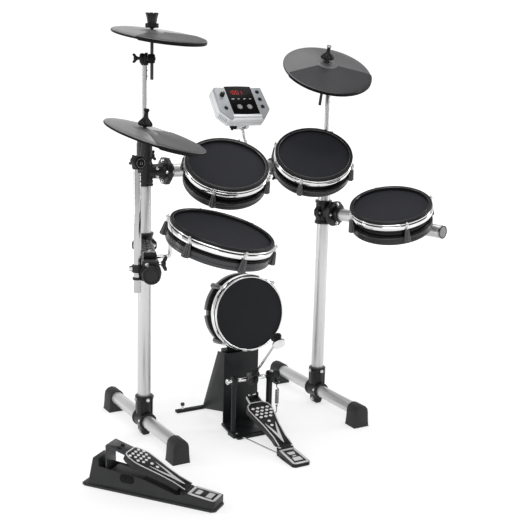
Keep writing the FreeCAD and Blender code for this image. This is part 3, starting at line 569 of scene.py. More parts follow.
P, B = Part(), Part()
for s in (-1, 1):
    px = s * PX
    # foot clamp: collar on the bar with end flanges, socket for the post, clamping lobe below
    T = move(px, 0, 58)
    turned(P, (0, -30, 0), Y, [(19.2, 0), (26.5, 0), (26.5, 7), (24.2, 9), (24.2, 51), (26.5, 53), (26.5, 60), (19.2, 60)],
           CLAMP, T, 1.0, 64)
    turned(P, (0, 0, 14), Z, [(19.2, 6), (24.0, 6), (24.0, 46), (26.8, 48.5), (26.8, 60), (24.6, 61.5), (19.2, 61.5)], CLAMP, T, 1.0, 64)
    for a in (45, 135, 225, 315):
        box(P, 21.5, 26.5, -2.6, 2.6, 14, 62, CLAMP, T @ turn(a, "Z"), 1.0)
    slab(P, [(-9, -44), (9, -44), (13, -36), (15, -14), (-15, -14), (-13, -36)], -16, 16, CLAMP, T @ along_y(0, 0, 0), 2.2, 3, 4.0)
    for q in (-1, 1):
        hexbolt(B, (0, q * 26.4, 66), (0, q, 0), 8, 4.4, STEEL, T)
        hexbolt(B, (q * 26.4, 0, 66), (q, 0, 0), 8, 4.4, STEEL, T)
        hexbolt(B, (q * 13.2, 0, -32), (q, 0, 0), 8, 4.4, STEEL, T)
        hexbolt(B, (q * 24.0, -22, 6), (q, 0, 0), 7, 3.6, STEEL, T)
    # corner casting: post socket with a double collar, ribbed neck for the cymbal tube, branch and flange to the bar
    top = 880 if s < 0 else 892
    T = move(px, 0, 0)
    turned(P, (0, 0, 752), Z, [(19.2, 0), (24.6, 0), (24.6, 5), (23.2, 6.5), (23.2, 8.5), (24.2, 10), (24.2, 15), (22.6, 17),
                               (22.6, 62), (20.6, 68), (20.2, top - 752 - 6), (21.4, top - 752 - 5), (21.4, top - 752),
                               (7.1, top - 752), (7.1, 24), (19.2, 22)], CLAMP, T, 0.9, 64)
    for a in (30, 90, 150, 210, 270, 330):
        box(P, 18.6, 21.9, -1.6, 1.6, 826, top - 8, CLAMP, T @ turn(a, "Z"), 0.8)
    inward = (-s, 0, 0)
    M = T @ aim((0, 0, 791), inward, (0, 1, 0))
    lathe(P, [(0, 4), (22.4, 4), (20.4, 30), (21.4, 50), (24, 57.5), (0, 57.5)], CLAMP, M, 64, 1.0)
    for a in range(4):
        c, q = 29 * math.cos(a * math.pi / 2), 29 * math.sin(a * math.pi / 2)
        hexbolt(B, (c, q, 57), (0, 0, -1), 8.5, 5.0, STEEL, M)
    for q in (-11, 11):
        hexbolt(B, (30 * -s, -20.6, 791 + q), (0, -1, 0), 7, 4, STEEL, T)
    flange(P, M, 57, 71, CLAMP)
    lathe(P, [(19.2, 60), (24.0, 60), (24.0, 80), (22.4, 82.5), (19.2, 82.5)], CLAMP, M, 64, 1.0)
    flange_bolts(B, M, 71, STEEL)
    # locking bolts of the cymbal tube
    wing_bolt(P, (-s * 19.0, 0, 836 if s < 0 else top - 14), inward, (0, 0.5, 1), 15, CLAMP, T, 6, 11)
P.make("rack_castings", "rack", KIT, "clamp_black", ["rack_clamps"])
B.make("casting_bolts", "rack", KIT, "rod_steel", ["clamp_bolts"])

# ------------------------------------------------------------------ arms
SNARE_TURN = Matrix.Rotation(math.radians(-111.4), 3, "Z")
SIDE_TURN = Matrix.Rotation(math.radians(-75.3), 3, "Z")
SNARE_ARM = spot(KIT, (-PX, 0, 582), SNARE_TURN)
SIDE_ARM = spot(KIT, (PX, 0, 642), SIDE_TURN)


def arm_joint(P, ribbed):
    """Swinging clamp on a post: sleeve with flared ends, bolted ears, branch with a bolted flange or a ribbed sleeve."""
    turned(P, (0, 0, -37), Z, [(19.2, 0), (26.2, 0), (26.2, 7), (24.0, 10), (23.6, 12), (23.6, 62), (24.0, 64), (26.2, 67), (26.2, 74), (19.2, 74)],
           CLAMP, I4, 1.0, 64)
    ear(P, I4, CLAMP, STEEL)
    M = aim((0, 0, 0), X, (0, 1, 0))
    lathe(P, [(0, 6), (23.0, 6), (23.0, 42), (0, 42)], CLAMP, M, 64, 1.0)
    if ribbed:
        prof = [(19.2, 36), (22.6, 36)]
        for j in range(9):
            z = 40 + j * 23.0
            prof += [(22.6, z), (25.4, z + 2.5), (25.4, z + 9), (22.6, z + 11.5)]
        prof += [(22.6, 246), (21.4, 249), (19.2, 249)]
        lathe(P, prof, RIBBED, M, 64, 0.9)
        return
    flange(P, M, 42, 55, CLAMP)
    lathe(P, [(19.2, 50), (24.0, 50), (24.0, 72), (22.6, 75), (19.2, 75)], CLAMP, M, 64, 1.0)
    flange_bolts(P, M, 55, STEEL)


# drum placements
N1, N2, N3 = (-0.148, -0.503, 0.852), (-0.263, -0.526, 0.809), (-0.265, -0.2, 0.943)
NS, NK = (0.149, -0.233, 0.961), (-0.08, -0.99, 0.12)
C1, C2, C3 = Vector((-159, -216, 834)), Vector((172, -136, 843)), Vector((270, -383, 724))
CS = Vector((-279.8, -420.7, 697.7))
CK = Vector((2.5, -74.7, 364.2)) + Vector(NK).normalized() * 9
ROT1, ROT2, ROT3 = axes(X, N1), axes(X, N2), axes((0.967, 0.254, 0), N3)
ROTS, ROTK = axes((-0.931, 0.364, 0), NS), axes(X, NK)
TOM_R, TOM_H, SN_R, SN_H, KICK_R, KICK_H = 114.0, 70.0, 134.0, 57.0, 114.4, 86.0


def in_arm(p, turn3, origin):
    return turn3.transposed() @ (p - Vector(origin))


SN_Y = -74.0
sA = in_arm(CS + ROTS @ Vector((-20, SN_Y, -SN_H - 14)), SNARE_TURN, (-PX, 0, 582))
sB = in_arm(CS + ROTS @ Vector((112, SN_Y, -SN_H - 14)), SNARE_TURN, (-PX, 0, 582))
sn_x, hh_x, hh_y = sB.x, 352.0, -33.0

P = Part()
pipe(P, (28, 0, 0), X, 363.5)
P.make("snare_arm_pipe", "snare_arm", SNARE_ARM, "satin_tube", ["snare_arm_tube"])

P = Part()
arm_joint(P, True)
# end cap: a deep moulded cap with a dished face
turned(P, (384.5, 0, 0), X, [(19.2, 0), (22.8, 0), (23.4, 2), (23.4, 10), (21.8, 13), (18.6, 13), (18.0, 11.6), (17.0, 11.6), (16.4, 12.6), (0, 12.6), (0, 8), (19.2, 8)], CLAMP, I4, 0.6, 64)
# holder of the snare rod: split ring with a block on top and its key bolt
turned(P, (sn_x - 20, 0, 0), X, [(19.2, 0), (25.2, 0), (25.2, 6), (24.0, 8), (24.0, 32), (25.2, 34), (25.2, 40), (19.2, 40)], CLAMP, I4, 1.0, 64)
box(P, sn_x - 13, sn_x + 13, -17, 17, 19, 41, CLAMP, I4, 2.2)
hexbolt(P, (sn_x, 0, 41), Z, 9, 5, STEEL)
hexbolt(P, (sn_x - 13, 0, 29), (-1, 0, 0), 8, 4, STEEL)
# holder of the hi-hat tube: ring, side block and wing bolt
turned(P, (hh_x - 15, 0, 0), X, [(19.2, 0), (25.5, 0), (25.5, 30), (19.2, 30)], CLAMP, I4, 1.2, 64)
for q in (-11, 0, 11):
    turned(P, (hh_x + q - 1.5, 0, 0), X, [(24, 0), (26.6, 0), (26.6, 3), (24, 3)], CLAMP, I4, 0.6, 64)
slab(P, [(hh_x - 16, 20), (hh_x + 16, 20), (hh_x + 16, -17), (hh_x + 11, -22), (hh_x - 16, -22)], 13, 30, CLAMP, I4, 2.0, 3, 4.0)
slab(P, [(hh_x - 15, -12), (hh_x + 15, -12), (hh_x + 15, -24), (hh_x - 15, -24)], -20, 14, CLAMP, I4, 2.0, 3, 3.0)
turned(P, (hh_x, hh_y, 0), Z, [(9.6, 0), (13.2, 0), (13.8, 2), (13.8, 17), (13.2, 19), (9.6, 19)], CLAMP, I4, 0.8, 48)
turned(P, (hh_x, hh_y, -19), Z, [(9.6, 0), (12.2, 0), (12.2, 6), (9.6, 6)], CLAMP, I4, 0.8, 48)
slab(P, [(hh_x - 9, -20), (hh_x + 9, -20), (hh_x + 8, hh_y - 6), (hh_x - 8, hh_y - 6)], 4, 15, CLAMP, I4, 1.2, 2, 2.0)
slab(P, [(hh_x - 5, hh_y - 10), (hh_x + 5, hh_y - 10), (hh_x + 4, hh_y - 20), (hh_x - 4, hh_y - 20)], 3, 16, CLAMP, I4, 1.2, 2, 2.0)
hexbolt(P, (hh_x + 4.6, hh_y - 16, 9.5), X, 7, 4, STEEL)
hexbolt(P, (hh_x - 4.6, hh_y - 16, 9.5), (-1, 0, 0), 7, 4, STEEL)
hexbolt(P, (hh_x + 16, -10, 22), X, 7, 3.6, STEEL)
cyl(P, (hh_x, 18, 21), Y, 4.0, 14, STEEL)
wing_bolt(P, (hh_x, 26, 21), Y, (0.25, 0, 1), 20, CLAMP, I4, 7.0, 12)
P.make("snare_arm_fittings", "snare_arm", SNARE_ARM, "clamp_black", ["snare_arm_clamp"])

P = Part()
sC, sD = Vector((sn_x, sB.y, 29)), Vector((sn_x, -12, 29))
rod(P, [sA, sB, sC, sD], 5.0, CHROME, I4, 20, 11.0)
P.make("snare_rod_bent", "snare_arm", SNARE_ARM, "rod_steel", ["snare_rod"])

T3A = in_arm(C3 + ROT3 @ Vector((-20, 0, -TOM_H - 14)), SIDE_TURN, (PX, 0, 642))
T3B = in_arm(C3 + ROT3 @ Vector((112, 0, -TOM_H - 14)), SIDE_TURN, (PX, 0, 642))
P = Part()
pipe(P, (28, 0, 0), X, 418)
P.make("side_arm_pipe", "side_arm", SIDE_ARM, "satin_tube", ["side_arm_tube"])
P = Part()
arm_joint(P, False)
# end plug: ribbed rim round a dished grey face
lathe(P, [(0, 446.05), (19.05, 446.05), (19.05, 451.5), (17.2, 452.2), (16.2, 450.6), (0, 450.2)], KNOB, aim((0, 0, 0), X), 72, 0.5)
lathe(P, [(0, 450.0), (16.0, 450.4), (15.6, 451.3), (0, 451.6)], BUTTON, aim((0, 0, 0), X), 72, 0.3)
for q in (0, 1, 2):
    turned(P, (446.6 + q * 1.7, 0, 0), X, [(18, 0), (19.5, 0), (19.5, 0.8), (18, 0.8)], STEEL, I4, 0.25, 72)
turned(P, (331, 0, 0), X, [(19.2, 0), (25.2, 0), (25.2, 6), (24.0, 8), (24.0, 32), (25.2, 34), (25.2, 40), (19.2, 40)], CLAMP, I4, 1.0, 64)
turned(P, (T3B.x, T3B.y, 5), Z, [(0, 0), (12, 0), (12, 14), (11, 16), (11, T3B.z + 1), (9, T3B.z + 4), (0, T3B.z + 4)], CLAMP, I4, 1.0, 48)
hexbolt(P, (T3B.x, T3B.y, T3B.z + 8.6), Z, 8, 4.5, STEEL)
P.make("side_arm_fittings", "side_arm", SIDE_ARM, "clamp_black", ["side_arm_clamp"])
P = Part()
rod(P, [T3A, T3B], 5.0, CHROME, I4, 20)
turned(P, T3A, T3B - T3A, [(0, 3), (5.6, 3), (5.6, 5), (0, 5)], CHROME, I4, 0.3, 32)
P.make("tom3_rod_bar", "side_arm", SIDE_ARM, "rod_steel", ["tom3_rod"])

# rods of the two rack toms and of the module, and their holders on the cross bar
E1 = C1 + ROT1 @ Vector((75, 0, -TOM_H - 14))
E2 = C2 + ROT2 @ Vector((-72, 0, -TOM_H - 14))
S1 = C1 + ROT1 @ Vector((-20, 0, -TOM_H - 14))
S2 = C2 + ROT2 @ Vector((20, 0, -TOM_H - 14))
K1, K2 = Vector((E1.x, -18, 772)), Vector((E2.x, -18, 768))
M0, M1 = Vector((34, 1.7, 819)), Vector((7.5, 1.7, 903))
P = Part()
rod(P, [S1, E1, K1], 5.0, CHROME, I4, 20, 12.0)
rod(P, [S2, E2, K2], 5.0, CHROME, I4, 20, 12.0)
rod(P, [M0, M1], 5.0, CHROME, I4, 20)
lathe(P, [(4.1, -4), (9, -4), (9, 13.4), (4.1, 13.4)], CHROME, aim((0, 1.7, 912), X), 40, 0.8)
P.make("mount_rods", "rack", KIT, "rod_steel", ["tom_rods"])

P = Part()
for e, k, zc in ((E1, K1, 772), (E2, K2, 768)):
    turned(P, (e.x - 18, 0, 791), X, [(19.2, 0), (25.4, 0), (25.4, 5), (24.2, 7), (24.2, 29), (25.4, 31), (25.4, 36), (19.2, 36)], CLAMP, I4, 1.0, 64)
    slab(P, [(-46, zc - 14), (-8, zc - 14), (-8, zc + 12), (-40, zc + 12), (-46, zc + 4)], e.x - 13, e.x + 13, CLAMP, along_x(0, 0, 0), 2.0, 3, 4.0)
    hexbolt(P, (e.x, -33, zc + 12), Z, 8, 5, STEEL)
    hexbolt(P, (e.x + 13, -26, zc), X, 8, 4, STEEL)
    wing_bolt(P, (e.x - 13, -26, zc), (-1, 0, 0), Z, 15, CLAMP, I4, 6, 10)
turned(P, (16, 0, 791), X, [(19.2, 0), (25.4, 0), (25.4, 5), (24.2, 7), (24.2, 29), (25.4, 31), (25.4, 36), (19.2, 36)], CLAMP, I4, 1.0, 64)
turned(P, (34, 1.7, 812), Z, [(5.2, 0), (13, 0), (11.4, 5), (11, 16), (9, 19), (5.2, 19)], CLAMP, I4, 0.9, 48)
wing_bolt(P, (23.5, 1.7, 822), (-1, 0, 0), Z, 14, CLAMP, I4, 5, 9)
P.make("bar_holders", "rack", KIT, "clamp_black", ["tom_clamps"])


# ------------------------------------------------------------------ drums
def drum(name, body, place, r, gin, h, lugs, rod_y=None, lug_low=9.0, big_lug=False, spin=0.0, ring=RINGDARK):
    """Drum pad in its own frame: Z out of the head, origin at the middle of the rim's top."""
    # shell: black wall with a bead, broad lower ring with a rolled edge, dished bottom plate
    P = Part()
    wall = r - 9.4
    S0 = turn(spin, "Z")
    lugs = [a + spin for a in lugs]
    lathe(P, [(0, -h + 2.5), (r - 22, -h + 2.5), (r - 18, 0.2 - h), (r - 3.0, 0.3 - h), (r - 3.0, 21.0 - h), (r - 6, 22.2 - h), (r - 14, 22.2 - h), (r - 14, 6 - h), (0, 6 - h)],
          SHELL, I4, 144, 0.5, 2)
    lathe(P, [(r - 3.4, -h), (r - 0.8, 1.0 - h), (r + 0.5, 3 - h), (r + 0.5, 9 - h), (r - 0.6, 9.8 - h), (r - 0.6, 10.8 - h), (r + 0.5, 11.6 - h), (r + 0.5, 18 - h),
              (r - 0.4, 20.0 - h), (r - 1.8, 21.2 - h), (r - 3.4, 21.5 - h)], ring, I4, 144, 0.5, 2)
    for q, zq in ((r - 0.2, 20.2 - h), (r - 0.3, 10.3 - h)):
        lathe(P, [(q - 0.9, zq - 0.75), (q + 0.5, zq - 0.55), (q + 0.7, zq), (q + 0.5, zq + 0.55), (q - 0.9, zq + 0.75)], RINGLINE if zq > 15 - h else ring, I4, 144, 0.2)
    lathe(P, [(r - 13, 21 - h), (wall, 21 - h), (wall, -10.5), (r - 13, -10.5)], SHELL, I4, 144, 0.3)
    mid = (22 - h - 25) / 2
    lathe(P, [(wall - 1, mid - 1.6), (wall + 1.7, mid - 1.0), (wall + 1.7, mid + 1.0), (wall - 1, mid + 1.6)], SHELL, I4, 144, 0.5)
    lathe(P, [(r - 7.5, 22.0 - h), (r - 5.2, 22.0 - h), (r - 5.6, 24.0 - h), (r - 7.5, 24.0 - h)], SHELL, I4, 144, 0.5)
    for a in lugs:
        T = turn(a, "Z") @ move(r + 4.6, 0, 0)
        lo, hi = lug_low - h, -21.5
        R0, R1, nf = (11.6, 5.8, 9) if big_lug else (9.8, 5.4, 9)
        dep = 0.3 if big_lug else 0.24
        rings = [fluted(R0 * 0.86, lo, dep * 0.5, nf), fluted(R0 * 0.97, lo + 0.9, dep, nf), fluted(R0, lo + 2.6, dep, nf)]
        for q in (0.25, 0.5, 0.75):
            rings.append(fluted(R0 + (R1 - R0) * q, lo + (hi - lo) * q, dep, nf))
        rings += [fluted(R1, hi - 2.2, dep, nf), fluted(R1 * 0.9, hi - 0.7, dep, nf), fluted(R1 * 0.62, hi, 0, nf)]
        loft(P, rings, LUG, T)
    if rod_y is not None:
        # clamp under the shell for the mounting rod
        box(P, -22, 22, rod_y - 9, rod_y + 9, -h - 22.5, -h + 1, CLAMP, S0, 2.0)
        box(P, -26, 26, rod_y - 13, rod_y + 13, -h - 3, -h + 1, CLAMP, S0, 1.2)
        wing_bolt(P, (4, rod_y + 9, -h - 14), Y, Z, 12, CLAMP, S0, 5, 9)
        for q in (-16, 16):
            hexbolt(P, (q, rod_y - 9, -h - 14), (0, -1, 0), 6, 3, STEEL, S0)
    # output jack in the wall, low on the far side
    turned(P, (0, r - 10, 33 - h if h > 60 else 30 - h), Y, [(2.2, 0), (6.5, 0), (6.5, 3.4), (2.2, 3.4)], STEEL, I4, 0.4, 32)
    P.make(name + "_shell_v", body, place, "shell_plastic", [name + "_shell"])
    # hoop: chrome lip and band with a black ring between them as painted shade in the channel, claws and key bolts
    P = Part()
    lathe(P, [(r - 7.0, -6.5), (r + 0.7, -6.5), (r + 1.5, -7.3), (r + 1.5, -9.5), (r + 0.7, -10.3), (r - 7.4, -10.3)], NICKEL, I4, 168, 0.4, 2)
    # black ring recessed between lip and band, in the shell's black: painted shade standing for the shaded channel
    lathe(P, [(r - 8, -10.1), (r - 0.8, -10.1), (r - 0.8, -13.4), (r - 8, -13.4)], SHELL, I4, 144, 0.2)
    lathe(P, [(r - 7.4, -13.2), (r + 0.9, -13.2), (r + 2.0, -14.2), (r + 2.4, -18.8), (r + 2.0, -23.4), (r + 0.9, -24.6), (r - 7.4, -24.8)], HOOP, I4, 168, 0.5, 2)
    for a in lugs:
        T = turn(a, "Z")
        slab(P, [(-3.6, -24), (3.6, -24), (4.6, -15), (3.8, -6.8), (-3.8, -6.8), (-4.6, -15)], r + 1.6, r + 3.8, CHROME,
             T @ along_x(0, 0, 0), 0.7, 2, 1.6)
        slab(P, [(r + 0.6, -4.8), (r + 8.4, -4.2), (r + 10.2, -1.5), (r + 10.2, 1.5), (r + 8.4, 4.2), (r + 0.6, 4.8)], -10.4, -7.4, CHROME, T, 0.8, 2, 1.5)
        cyl(P, (r + 5.4, 0, -22), Z, 2.4, 13, CHROME, T, 0.4, 24)
        turned(P, (r + 5.4, 0, -7.6), Z, [(0, 0), (4.1, 0), (4.1, 1.4), (0, 1.4)], CHROME, T, 0.3, 28)
        slab(P, [(-2.5, -2.5), (2.5, -2.5), (2.5, 2.5), (-2.5, 2.5)], -6.4, -2.0, CHROME, T @ move(r + 5.4, 0, 0), 0.6, 2, 0.5)
    P.make(name + "_hoop_v", body, place, "chrome_hoop", [name + "_hoop"])
    # head: stretched mesh with its bead ring
    P = Part()
    lathe(P, [(0, -8.85), ((r - 14) * 0.35, -8.86), ((r - 14) * 0.7, -8.9), (r - 13, -9.0), (r - 8.4, -9.3), (r - 8.0, -10.4), (r - 8.0, -17.6),
              (r - 9.6, -17.6), (r - 9.6, -10.4), (0, -10.2)], MESH, I4, 144, 0.3)
    P.make(name + "_head_v", body, place, "mesh_head", [name + "_head"])
    # rim guard: soft extrusion with a rounded crown, an inner lip and a groove outside
    P = Part()
    lathe(P, [(gin, -8.7), (gin + 0.2, -2.4), (gin + 1.0, -1.0), (gin + 2.2, -0.8), (gin + 3.2, -1.6), (r - 4.6, -1.0), (r - 3.4, 0.0), (r - 1.8, -0.2), (r - 0.4, -1.4), (r, -3.2), (r, -4.4),
              (r - 0.7, -4.8), (r - 0.7, -5.3), (r, -5.7), (r, -6.4), (r - 7.0, -6.4), (r - 7.8, -8.75)], GUARD, I4, 168, 0.4, 2)
    lathe(P, [(gin + 0.2, -1.6), (gin + 2.4, -1.4), (gin + 2.0, -0.55), (gin + 1.2, -0.5)], GUARDLINE, I4, 144, 0.25)
    P.make(name + "_guard", body, place, "rim_rubber", [name + "_rim"])


drum("tom1", "tom1", spot(KIT, C1, ROT1), TOM_R, 103.5, TOM_H, [50 + 90 * k for k in range(4)], 0)
drum("tom2", "tom2", spot(KIT, C2, ROT2), TOM_R, 103.5, TOM_H, [46 + 90 * k for k in range(4)], 0)
drum("tom3", "tom3", spot(KIT, C3, ROT3), TOM_R, 103.5, TOM_H, [60 + 90 * k for k in range(4)], 0)
FLAT = axes(X, NS)
lead = FLAT.transposed() @ ROTS.col[0]
drum("snare", "snare", spot(KIT, CS, FLAT), SN_R, 125.0, SN_H, [48.4 + 60 * k for k in range(6)], SN_Y, 1.0, True, math.degrees(math.atan2(lead.y, lead.x)), RING)

# kick pad: deep wall, notched rear ring, broad chrome hoop, no guard
KICK = spot(KIT, CK, ROTK)
r, h = KICK_R, KICK_H
P = Part()
lathe(P, [(0, -h + 3), (r - 24, -h + 3), (r - 20, -h), (r - 6, -h), (r - 6, 20 - h), (r - 12, 20 - h), (r - 12, 7 - h), (0, 7 - h)], RING, I4, 120, 0.6)
lathe(P, [(r - 13, 12 - h), (r - 8.5, 12 - h), (r - 8.5, -10.5), (r - 13, -10.5)], SHELL, I4, 144, 0.3)


def arc_band(P, r0, r1, z0, z1, a0, a1, mat, n=90, e=1.2):
    """A length of ring of boxed section with rounded edges, closed at both ends."""
    sec = fillet([(r0, z0), (r1, z0), (r1, z1), (r0, z1)], e, 3)
    rings = []
    for j in range(n + 1):
        a = math.radians(a0 + (a1 - a0) * j / n)
        rings.append([(q[0] * math.cos(a), q[0] * math.sin(a), q[1]) for q in sec])
    loft(P, rings, mat)


NOTCH = 178.0
arc_band(P, r - 7, r + 0.5, -h, 21 - h, NOTCH + 4.5, NOTCH + 355.5, RING, 140, 1.8)
for a in (45, 135, 225, 315):
    T = turn(a, "Z") @ move(r + 2.6, 0, 0)
    rings = [fluted(7.6, 2 - h, 0.04, 8), fluted(9.2, 3.4 - h, 0.08, 8), fluted(9.4, 20 - h, 0.08, 8), fluted(7.6, 40 - h, 0.08, 8),
             fluted(5.6, -26, 0.08, 8), fluted(4.4, -23.5, 0.05, 8)]
    loft(P, rings, LUG, T)
P.make("kick_shell_v", "rack", KICK, "shell_plastic", ["kick_shell"])
P = Part()
lathe(P, [(r - 7.4, -4.9), (r - 6.4, -4.2), (r - 4.4, -4.2), (r - 3.4, -5.2), (r - 3.0, -12.4), (r + 0.6, -14.2), (r + 1.5, -15.6), (r + 1.5, -27.5), (r + 0.6, -29.6),
          (r - 7.4, -30.8)], HOOP, I4, 168, 0.6, 2)
for a in (45, 135, 225, 315):
    T = turn(a, "Z")
    slab(P, [(-4.8, -29), (4.8, -29), (5.6, -20), (4.6, -12.6), (-4.6, -12.6), (-5.6, -20)], r + 1.0, r + 3.6, CHROME, T @ along_x(0, 0, 0), 0.7, 2, 1.6)
    slab(P, [(r - 1.4, -5), (r + 7.6, -4.2), (r + 9.4, -1.5), (r + 9.4, 1.5), (r + 7.6, 4.2), (r - 1.4, 5)], -16, -12.8, CHROME, T, 0.8, 2, 1.5)
    cyl(P, (r + 4.4, 0, -25), Z, 2.5, 11, CHROME, T, 0.4, 24)
    turned(P, (r + 4.4, 0, -13), Z, [(0, 0), (4.2, 0), (4.2, 1.5), (0, 1.5)], CHROME, T, 0.3, 28)
    slab(P, [(-2.6, -2.6), (2.6, -2.6), (2.6, 2.6), (-2.6, 2.6)], -11.6, -6.4, CHROME, T @ move(r + 4.4, 0, 0), 0.6, 2, 0.5)
# black ring at the step of the chrome hoop, in the shell's black: painted shade for the dark line at the step
lathe(P, [(r - 6, -10.6), (r - 2.2, -10.6), (r - 1.6, -13.2), (r - 6, -13.2)], SHELL, I4, 144, 0.3)
P.make("kick_hoop_v", "rack", KICK, "chrome_hoop", ["kick_hoop"])
P = Part()
lathe(P, [(0, -8.9), (40, -8.92), (80, -8.96), (r - 9, -9.0), (r - 8.0, -9.6), (r - 8.0, -17.6), (r - 9.6, -17.6), (r - 9.6, -10.4), (0, -10.2)], KICKMESH, I4, 144, 0.3)
P.make("kick_head_v", "rack", KICK, "mesh_head", ["kick_head"])

# ------------------------------------------------------------------ cymbals
YAW = math.radians(30.85)
RIGHT = Vector((math.cos(YAW), -math.sin(YAW), 0))
NEAR = Vector((-math.sin(YAW), -math.cos(YAW), 0))


def cymbal(name, top, base_z, n_rod, mid, n_pad, u0, below, r, crown, reach, stand_r, zone, lean=0.0):
    top, n_rod, mid, n_pad = Vector(top), Vector(n_rod).normalized(), Vector(mid), Vector(n_pad).normalized()
    u = Vector(u0)
    u = (u - n_rod * u.dot(n_rod)).normalized()
    start = top + u * reach
    lift = (mid - start).dot(n_pad) / n_rod.dot(n_pad)
    hole = start + n_rod * lift
    up = hole - mid
    off = up.length
    rot_pad = axes(up.cross(n_pad), n_pad)
    # tube: polished, with the fixed half of the tilter, its wing bolt and two lock screws
    P = Part()
    hollow(P, (top.x, top.y, base_z), Z, stand_r, stand_r - 1.4, top.z - 10 - base_z, POLISHED, I4, 0.4, 48)
    turned(P, (top.x, top.y, top.z - 18), Z, [(stand_r, 0), (stand_r + 2.0, 0), (stand_r + 3.6, 2), (stand_r + 4.4, 12), (0, 14), (0, 8), (stand_r, 8)], KNOB, I4, 0.6, 40)
    lathe(P, [(0, -13), (11.5, -13), (13.6, -11.5), (14.4, -8), (14.4, -3), (13.2, -2), (13.2, 0.6), (15.4, 1.6), (15.8, 3), (15.8, 8.8), (0, 8.8)], KNOB, aim(top, u), 56, 0.7)
    for j in range(18):
        box(P, 14.6, 16.2, -0.9, 0.9, 2.4, 8, KNOB, aim(top, u) @ turn(j * 20, "Z"), 0.4)
    cyl(P, top - u * 22, u, 4.2, 12, KNOB)
    wing_bolt(P, top - u * 19, -u, Vector((0, 0, 1)) + RIGHT * 0.55, 13, KNOB, I4, 6, 11)
    face = (RIGHT * 0.95 + NEAR * 0.3).normalized()
    for q in (32, 48):
        cyl(P, Vector((top.x, top.y, top.z - q)) + face * (stand_r - 1), face, 1.7, 2.4, KNOB, I4, 0.3, 20)
    axis = Vector((top.x, top.y, 0))
    P.v = [q - axis for q in P.v]
    P.make(name + "_tube_v", name + "_stand", spot(KIT, axis), "rod_steel", [name + "_tube"])
    # rod: moving half of the tilter, seat, felts and nut
    place = spot(KIT, hole, axes(u, n_rod))
    P = Part()
    cyl(P, (0, 0, -lift - below), Z, 4.5, 46 + lift + below, DARKROD, I4, 0.8, 32)
    big, fz, side = (15.4, -2.2, -4.0) if name == "hihat" else (12.8, 0.0, 0.0)
    DM = move(0, side, -lift) @ aim((0, 0, 0), X)
    lathe(P, [(0, 10.5 - reach), (big - 1, 10.5 - reach), (big, 12 - reach), (big, 5.5 + fz), (big - 1, 7.6 + fz), (big - 3, 8.2 + fz), (big - 3.6, 7.2 + fz), (big - 5, 7.2 + fz),
              (big - 5.6, 8.4 + fz), (big - 7, 8.4 + fz), (big - 7.6, 7.4 + fz), (4.6, 7.4 + fz), (4.2, 9.6 + fz), (0, 10 + fz)], DULL, DM, 56, 0.35)
    # thin lighter metal rings set in the dark disc's grooves: painted highlights standing for the glints on its
    # concentric ridges
    for q, zq in ((big - 4.2, 7.4 + fz), (3.2, 9.9 + fz)):
        lathe(P, [(q - 0.5, zq - 0.5), (q + 0.5, zq - 0.5), (q + 0.3, zq + 0.3), (q - 0.3, zq + 0.3)], SPRING, DM, 48, 0.15)
    lathe(P, [(0, -25), (6, -25), (6.6, -22), (7.2, -15), (10.4, -13), (10.4, -10.6), (0, -10.6)], KNOB, I4, 40, 0.7)
    lathe(P, [(0, 10.2), (5.8, 10.2), (6.6, 11), (6.2, 13.2), (0, 13.2)], FELT, I4, 40, 0.6)
    if crown:
        lathe(P, [(0, 12.0), (17.0, 12.0), (18.4, 13.6), (18.4, 22.6), (17.4, 24.2), (0, 24.4)], KNOB, I4, 64, 0.8)
        n = 96

        def teeth(R, z, dz):
            out = []
            for j in range(n):
                a = 360 * j / n
                f = (a % 45) / 45
                rr = R * (1 - 0.07 * (0.5 - 0.5 * math.cos(2 * math.pi * f)) * 1.0)
                notch = 1.0 if 0.34 < f < 0.66 else 0.0
                out.append((rr * math.cos(math.radians(a)), rr * math.sin(math.radians(a)), z - dz * notch))
            return out

        loft(P, [teeth(11.5, 24.2, 0), teeth(12.6, 25.2, 0), teeth(14.2, 36, 0), teeth(16.6, 46, 0), teeth(18.2, 51, 3.4), teeth(17.8, 52, 4.2),
                 teeth(14.6, 51.6, 4.2), teeth(13.6, 47, 2.0), teeth(12.8, 43, 0)], CROWN, I4)
        cyl(P, (0, 0, 42), Z, 4.4, 8, STEEL, I4, 0.6, 28)
    else:
        dz, wide = (0.0, 1.0) if name == "hihat" else (3.5, 1.1)
        prof = [(15.6, 12.2), (18.2, 14.2), (18.8, 16.6), (18.2, 19.5), (15.4, 23.5), (11.4, 27.5), (7.6, 31.5), (5.8, 35.5), (5.3, 41), (5.3, 47)]
        rings = [fluted(13.4, 11.8 + dz, 0.0, 12, 72)] + [fluted(a * (wide if b < 30 else 1), b + dz, 0.2 if 11 < b < 24 else 0.06, 8, 72) for a, b in prof] + [fluted(4.4, 48 + dz, 0.0, 12, 72)]
        loft(P, rings, KNOB, I4)
        turned(P, (0, 0, 46.5 + dz), Z, [(0, 0), (5.4, 0), (7.0, 2), (7.0, 5.6), (5.4, 7.6), (0, 8)], SPRING if name == "ride" else KNOB, I4, 0.7, 32)
    P.make(name + "_rod_v", name + "_arm", place, "rod_black", [name + "_rod"])
    # pad: thin moulded disc with a bell, and a thick strike zone wrapped over the near edge
    P = Part()
    mid_l = move(0, -off, 0)
    skin, strike = HAT_LIGHT, HAT_DARK
    lathe(P, [(r - 9, -6.8), (r - 1.4, -7.0), (r - 0.2, -5.8), (r, -2.6), (r - 1.0, -1.6), (r - 9, -1.6)], HAT_EDGE, mid_l, 160, 0.5)
    over = [(0, 3.5), (r * 0.2, 3.4), (r * 0.4, 3.0), (r * 0.75, 1.7), (r - 8, 0.7), (r - 1.6, -0.9), (r - 0.6, -1.9)]
    under = [(0, -5.6), (r * 0.3, -5.8), (r - 3, -4.6), (r - 0.6, -3.8)]

